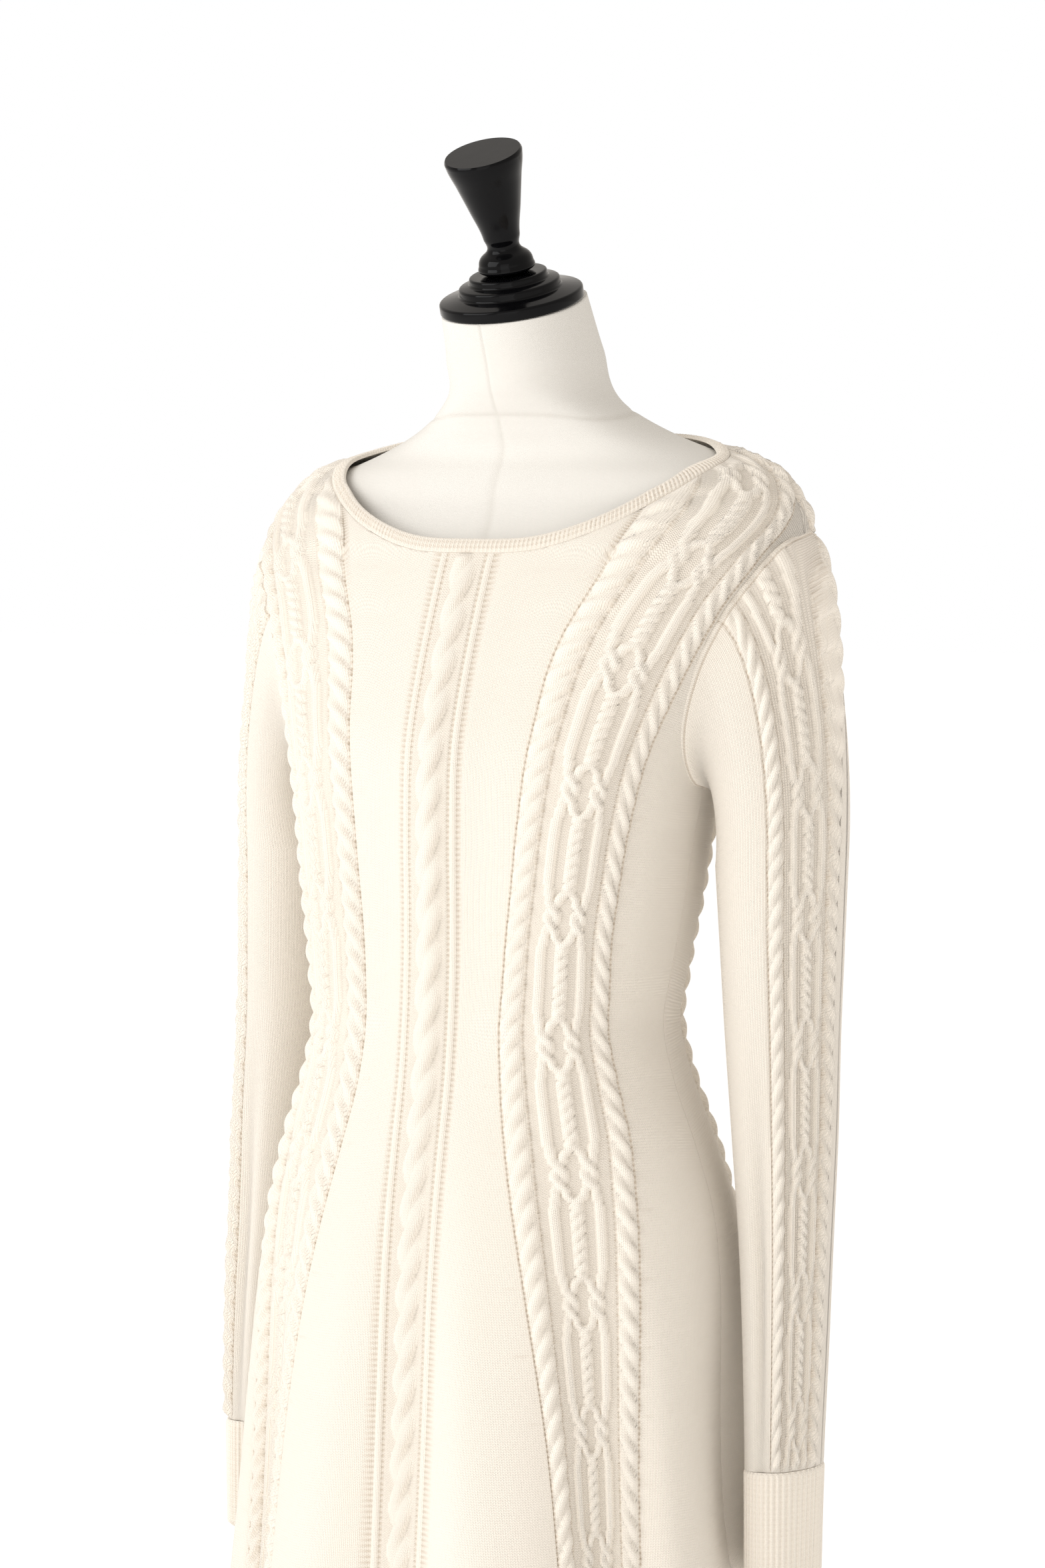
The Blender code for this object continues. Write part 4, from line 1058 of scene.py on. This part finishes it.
def make_sleeve(side, hand):
    """One sleeve: a shell with the cable panel and the long crease."""
    low, high = CABLE_MIDDLE - CABLE_HALF, CABLE_MIDDLE + CABLE_HALF
    psi = np.concatenate([
        np.linspace(low - CABLE_TURN, high, 68)[:-1],
        np.linspace(high, 2.0 * np.pi + low - CABLE_TURN, 70)[:-1]]) % (2.0 * np.pi)
    rows = np.concatenate([np.linspace(0.0, 1.0, 120)[:-1], np.linspace(1.0, 2.0, 250)])
    base = sleeve_surface(psi, rows, hand)
    closed = np.concatenate([base[-1:], base, base[:1]])
    ring_middle = base.mean(axis=0, keepdims=True)
    normal = grid_normal(closed)[1:-1]
    if np.sum(normal * (base - ring_middle)) < 0.0:
        normal = -normal
    step = np.linalg.norm(np.diff(base, axis=1), axis=-1)
    length = np.concatenate([np.zeros((len(psi), 1)), np.cumsum(step, axis=1)], axis=1)
    panel_middle = int(np.argmin(np.abs(psi - CABLE_MIDDLE)))
    z_middle = base[panel_middle, :, 2]
    knots = (z_middle - SLEEVE_KNOT)[None, :] / LINK + 0.0 * length
    drift = CABLE_TURN * (1.0 - ease(rows / 1.25))
    s = ((psi[:, None] - low + drift[None, :]) % (2.0 * np.pi)) / (high - low)
    inside = (s >= 0.0) & (s <= 1.0)
    relief = panel_relief(np.clip(s, 0.0, 1.0), knots * LINK, knots * LINK, knots)
    height, purl, hole = (np.where(inside, part, 0.0) for part in relief)
    crease = FOLD_DEPTH * hill((psi[:, None] - FOLD_PLACE) / FOLD_HALF)
    crease = crease * hill((base[..., 2] - FOLD_MIDDLE) / FOLD_REACH)
    edge = ease(length / SLEEVE_FADE) * ease((length[:, -1:] - length) / SLEEVE_FADE)
    dips = marks(length, (psi * 0.05)[:, None] + 0.0 * length, 0.022)
    seam = hill((length - SEAM_PLACE) / SEAM_HALF)
    height = (height - CAP_MARK_DEPTH * dips) * edge - SEAM_DEPTH * seam
    # the armhole seam's groove and the cap's marks are darkened too: painted shade in them
    hole = np.maximum(hole, np.maximum(0.4 * dips, 0.6 * seam))
    rest = (s - 1.0) * (high - low) * SLEEVE_GIRTH
    u = np.where(inside, s * PANEL_WIDTH, PANEL_WIDTH + rest)
    width = PANEL_WIDTH + (2.0 * np.pi - high + low) * SLEEVE_GIRTH
    outer = base + (height - crease)[..., None] * normal
    inner = base - (WALL + crease)[..., None] * normal
    values = {"purl": purl, "hole": hole}
    uv = np.stack([u, -length], -1)
    sleeve = shell(side + "_sleeve", outer, inner, uv, values, KNIT, wrap=width, step=3)
    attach(sleeve, "root")
    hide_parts("sleeve_" + side)
    return sleeve


CUFF_GIRTH = 0.030            # the cuff's mean radius, which spaces its stitches
CUFF_RIBS = 44
CUFF_RIB_HIGH = 0.0013
CUFF_ROLL = 0.0012            # the free edge rolls in by this
CUFF_WAVE = 0.0006            # the cuff is not quite oval


def make_cuff(side, hand):
    """A long ribbed cuff: ribs are a raised cosine round the ring, fading at its ends."""
    psi = np.arange(CUFF_RIBS * 6) * 2.0 * np.pi / (CUFF_RIBS * 6)
    z = np.linspace(CUFF_TOP - SEAM, CUFF_END, 36)
    psi2, z2 = np.meshgrid(psi, z, indexing="ij")
    fade = ease((z2 - CUFF_END) / 0.002) * ease((CUFF_TOP - z2) / 0.003)
    crest = 0.5 + 0.5 * np.cos(CUFF_RIBS * psi2)
    rib = CUFF_RIB_HIGH * crest * fade
    turn = CUFF_ROLL * (1.0 - ease((z2 - CUFF_END) / WALL))
    waist = CUFF_WAVE * np.sin(2.0 * psi2 + 18.0 * z2)
    outer = sleeve_ring(psi2, z2, -rib + turn - waist, hand)
    inner = sleeve_ring(psi2, z2, WALL - waist, hand)
    gap = 1.0 - crest
    uv = np.stack([psi2 * CUFF_GIRTH, -z2], -1)
    # the valleys between the ribs are darkened: painted shade
    values = {"purl": 0.35 * gap, "hole": 0.18 * gap * fade}
    cuff = shell(side + "_cuff", outer, inner, uv, values, RIB, wrap=2.0 * np.pi * CUFF_GIRTH, step=6)
    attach(cuff, "root")
    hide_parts("cuff_" + side)
    return cuff


SLEEVES = [make_sleeve(side, hand) for side, hand in (("left", 1.0), ("right", -1.0))]
CUFFS = [make_cuff(side, hand) for side, hand in (("left", 1.0), ("right", -1.0))]


# ---------------------------------------------------------------- neckband
NECK_RIBS = 240
NECK_RIB_HIGH = 0.0011
NECK_ROLL = 0.0003            # the band is a little rounded across


def make_neckband():
    """A narrow ribbed band that carries on past the neck edge; ribs run across it. The gap
    to the neck edge is SEAM wide square to the edge."""
    phi = -np.pi + np.arange(NECK_RIBS * 5) * 2.0 * np.pi / (NECK_RIBS * 5)
    edge = neck_line(phi)
    seam_line = body(phi, edge)
    up = (body(phi, edge + 0.001) - seam_line) / 0.001
    span = np.linalg.norm(up, axis=-1)
    along = np.roll(seam_line, -1, axis=0) - np.roll(seam_line, 1, axis=0)
    run = np.append(0.0, np.cumsum(np.linalg.norm(np.diff(seam_line, axis=0), axis=-1)))
    whole = run[-1] + run[1]
    along /= np.linalg.norm(along, axis=-1, keepdims=True)
    square = np.linalg.norm(np.cross(up, along), axis=-1) / span
    gap = SEAM / np.maximum(square, 0.2)
    at = np.linspace(0.0, BAND_WIDTH, 12)
    z = edge[:, None] + (gap[:, None] + at[None, :]) / span[:, None]
    phi2 = phi[:, None] + 0.0 * at[None, :]
    normal = body_normal(phi2, z)
    crest = 0.5 + 0.5 * np.cos(2.0 * np.pi * run * NECK_RIBS / whole)[:, None]
    fade = ease(at / 0.0015) * ease((BAND_WIDTH - at) / 0.0018)
    roll = NECK_ROLL * hill((at - 0.5 * BAND_WIDTH) / (0.6 * BAND_WIDTH))
    height = NECK_RIB_HIGH * crest * fade[None, :] + roll[None, :]
    base = body(phi2, z)
    uv = np.stack([run[:, None] + 0.0 * at[None, :], at[None, :] + 0.0 * phi2], -1)
    # the valleys between the ribs are darkened: painted shade
    values = {"purl": 0.3 * (1.0 - crest) + 0.0 * phi2, "hole": 0.55 * (1.0 - crest) * fade[None, :]}
    band = shell("neck_rib", base + height[..., None] * normal, base - WALL * normal, uv, values, RIB,
                 wrap=whole, step=5)
    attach(band, "root")
    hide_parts("neckband")
    return band


NECKBAND = make_neckband()


# ---------------------------------------------------------------- dress form
RING_SEAM = 1.3935            # height of the seam round the neck, and how far it leans
RING_LEAN = 0.006
RING_HALF = 0.0022            # half widths of the seams' grooves: as a height, as an angle
CENTRE_SEAM_HALF = 0.030
GROOVE = 0.0007


def make_form():
    """The limbless torso: the dress's surface set in, with its sewn seams as fine grooves."""
    sides = 288
    phi = -np.pi + np.arange(sides) * 2.0 * np.pi / sides
    heights = np.concatenate([np.linspace(FORM_BOTTOM, 1.26, 60), np.linspace(1.262, FORM_TOP, 160)])
    phi2, z2 = np.meshgrid(phi, heights, indexing="ij")
    seat = SEAT * hill(np.sin(phi2) / SEAT_REACH) * hill((z2 - SEAT_HEIGHT) / SEAT_SPREAD)
    centre = sum(hill((phi2 - side * np.pi / 2.0) / CENTRE_SEAM_HALF) for side in (-1.0, 1.0))
    neck_ring = hill((z2 - RING_SEAM - RING_LEAN * np.sin(phi2)) / RING_HALF)
    seam = np.clip(centre + neck_ring, 0.0, 1.0)
    inset = smooth(INSETS, 1, z2) - seat + GROOVE * seam
    ring = body(phi2, z2, inset, folded=False)
    level = z2 < LEVEL_BELOW
    ring[..., 2] = np.where(level, z2, ring[..., 2])
    tilt = np.clip((z2 - TILT_FROM) / (FORM_TOP - TILT_FROM), 0.0, 1.0) * math.tan(NECK_TILT)
    ring[..., 2] += (ring[..., 1] - ring[..., 1].mean(axis=0, keepdims=True)) * tilt
    form = capped("form_canvas", ring, CANVAS)
    layer = form.data.attributes.new("seam", "FLOAT", "POINT")
    layer.data.foreach_set("value", np.append(seam.ravel(), [0.0, 0.0]).astype(np.float32))
    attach(form, "root")
    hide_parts("form_torso")


def rounded(profile, radius, steps=5):
    """A profile of (radius, along) corners with each inner corner rounded by a quadratic
    Bezier that starts and ends up to radius away from it."""
    points = np.array(profile, float)
    out = [points[:1]]
    t = np.linspace(0.0, 1.0, steps)[:, None]
    for before, corner, after in zip(points[:-2], points[1:-1], points[2:]):
        reach_in = min(radius, 0.45 * np.linalg.norm(corner - before))
        reach_out = min(radius, 0.45 * np.linalg.norm(after - corner))
        start = corner + (before - corner) / np.linalg.norm(before - corner) * reach_in
        end = corner + (after - corner) / np.linalg.norm(after - corner) * reach_out
        out.append((1.0 - t) ** 2 * start + 2.0 * t * (1.0 - t) * corner + t ** 2 * end)
    out.append(points[-1:])
    return np.vstack(out)


CAP_TOP = 0.0216              # heights of the cap's top and of the foot's collar
FOOT_TOP = 0.0230
# radius and distance along the axis
CAP_PROFILE = ((0.0440, 0.0000), (0.0475, 0.0000), (0.0475, 0.0075), (0.0335, 0.0100),
               (0.0335, 0.0155), (0.0258, 0.0168), (0.0258, CAP_TOP), (0.0200, CAP_TOP))
BASE_PROFILE = ((0.0100, 0.0000), (0.1500, 0.0000), (0.1500, 0.0080), (0.1440, 0.0120), (0.0450, 0.0170),
                (0.0220, FOOT_TOP), (0.0130, FOOT_TOP))
# distance along the knob, radius, lean in degrees
FINIAL = np.array((
    (0.0000, 0.0125, 17.0), (0.0015, 0.0165, 17.0), (0.0070, 0.0180, 17.5), (0.0120, 0.0160, 18.0),
    (0.0155, 0.0118, 19.0), (0.0250, 0.0122, 22.0), (0.0450, 0.0170, 25.0), (0.0640, 0.0218, 26.0),
    (0.0790, 0.0256, 26.0), (0.0815, 0.0258, 26.0), (0.0830, 0.0250, 26.0),
))


def make_finial():
    """The leaning knob: rings whose axis bends, with radius and lean read along the knob."""
    along = np.concatenate([np.linspace(0.0, 0.0155, 30)[:-1], np.linspace(0.0155, 0.0830, 60)])
    radius = smooth(FINIAL, 1, along)
    lean = np.radians(smooth(FINIAL, 2, along))
    up = np.array([0.0, -math.sin(NECK_TILT), math.cos(NECK_TILT)])
    foot = np.array(CAP_MIDDLE) + (CAP_TOP + SEAM) * up
    axis = np.stack([0.0 * lean, -np.sin(lean), np.cos(lean)], -1)
    ahead = np.stack([0.0 * lean, -np.cos(lean), -np.sin(lean)], -1)
    path = foot + np.cumsum(np.diff(along, prepend=0.0)[:, None] * axis, axis=0)
    turn = np.arange(96) * 2.0 * np.pi / 96
    side = np.array([1.0, 0.0, 0.0])
    circle = np.cos(turn)[:, None, None] * side - np.sin(turn)[:, None, None] * ahead[None]
    return capped("finial_knob", path[None] + radius[None, :, None] * circle, LACQUER)


make_form()
NECK_CAP = turned("neck_cap_turned", rounded(CAP_PROFILE, 0.0016), np.array(CAP_MIDDLE), NECK_TILT,
                  128, LACQUER)
FINIAL_KNOB = make_finial()
FOOT = turned("stand_foot", rounded(BASE_PROFILE, 0.0015), np.zeros(3), 0.0, 128, METAL)
POLE = turned("stand_tube", ((POLE_RADIUS, FOOT_TOP + SEAM), (POLE_RADIUS, FORM_BOTTOM - SEAM)),
              np.zeros(3), 0.0, 64, METAL)
for piece, node, finish in ((NECK_CAP, "neck_cap", "black_gloss"), (FINIAL_KNOB, "finial", "black_gloss"),
                            (FOOT, "stand_base", "black_metal"), (POLE, "stand_pole", "black_metal")):
    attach(piece, "root")
    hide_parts(node)
    piece.data.set_sharp_from_angle(angle=math.radians(35.0))


# ---------------------------------------------------------------- floor, lights, camera
def make_floor():
    """A wide pale floor, a hair under the stand's foot."""
    half, under = 30.0, -0.0002
    verts = np.array([(-half, -half, under), (half, -half, under), (half, half, under), (-half, half, under)])
    floor = build_mesh("floor", verts, np.array([[0, 1, 2, 3]]), np.zeros((0, 3), int))
    material, _, shader = new_material("pale floor", 0.9)
    shader.inputs["Base Color"].default_value = (0.95, 0.95, 0.95, 1.0)
    shader.inputs["Specular IOR Level"].default_value = 0.0
    shader.inputs["Emission Color"].default_value = (1.0, 1.0, 1.0, 1.0)
    shader.inputs["Emission Strength"].default_value = 0.34
    floor.data.materials.append(material)


def add_light(name, place, target, size, power, colour):
    """A square area light aimed at a point."""
    light = bpy.data.lights.new(name, "AREA")
    light.shape = "SQUARE"
    light.size = size
    light.energy = power
    light.color = colour
    lamp = bpy.data.objects.new(name, light)
    lamp.location = place
    lamp.rotation_mode = "QUATERNION"
    lamp.rotation_quaternion = (Vector(target) - Vector(place)).to_track_quat("-Z", "Y")
    bpy.context.scene.collection.objects.link(lamp)


def make_world(seen, cast, warmth):
    """A white studio: seen white by the camera at one strength, and lighting the object with
    a slightly warm colour at another."""
    world = bpy.data.worlds.new("white studio")
    world.use_nodes = True
    bpy.context.scene.world = world
    tree = world.node_tree
    shine = tree.nodes["Background"]
    path = tree.nodes.new("ShaderNodeLightPath")
    tint = blend(tree, path.outputs["Is Camera Ray"], (*warmth, 1.0), (1.0, 1.0, 1.0, 1.0))
    tree.links.new(tint, shine.inputs["Color"])
    strength = tree.nodes.new("ShaderNodeMix")
    strength.inputs["A"].default_value = cast
    strength.inputs["B"].default_value = seen
    tree.links.new(path.outputs["Is Camera Ray"], strength.inputs["Factor"])
    tree.links.new(strength.outputs["Result"], shine.inputs["Strength"])


bpy.context.scene.view_settings.view_transform = "Standard"
make_floor()
make_world(1.0, 0.80, (1.0, 0.950, 0.890))
add_light("key softbox", (-1.9, -2.9, 2.5), (0.0, 0.0, 1.0), 2.8, 78.0, (0.97, 0.985, 1.0))
add_light("front fill", (1.4, -3.6, 1.2), (0.0, 0.0, 0.9), 2.4, 14.0, (0.99, 0.99, 1.0))

VIEW_ANGLE = math.radians(30.0)   # the camera stands this far round to the wearer's left
VIEW_DISTANCE = 3.8
EYE_HEIGHT = 1.378
AIM_DROP = math.radians(3.444)    # the camera looks down by this, and past the pole's line
AIM_SIDE = 0.0187
HALF_FIELD = math.atan(1176.0 / 8740.0)     # half the height of the field of view
SENSOR = 36.0


def make_camera():
    """The camera, level with the neck, aimed a little down at the waist."""
    data = bpy.data.cameras.new("camera")
    data.sensor_width = SENSOR
    data.lens = 0.5 * SENSOR / math.tan(HALF_FIELD)
    data.clip_start = 0.05
    data.clip_end = 200.0
    camera = bpy.data.objects.new("camera", data)
    place = Vector((VIEW_DISTANCE * math.sin(VIEW_ANGLE), -VIEW_DISTANCE * math.cos(VIEW_ANGLE), EYE_HEIGHT))
    aside = AIM_SIDE * Vector((math.cos(VIEW_ANGLE), math.sin(VIEW_ANGLE), 0.0))
    aim = aside + Vector((0.0, 0.0, EYE_HEIGHT - VIEW_DISTANCE * math.tan(AIM_DROP)))
    camera.location = place
    camera.rotation_mode = "QUATERNION"
    camera.rotation_quaternion = (aim - place).to_track_quat("-Z", "Y")
    bpy.context.scene.collection.objects.link(camera)
    bpy.context.scene.camera = camera


make_camera()
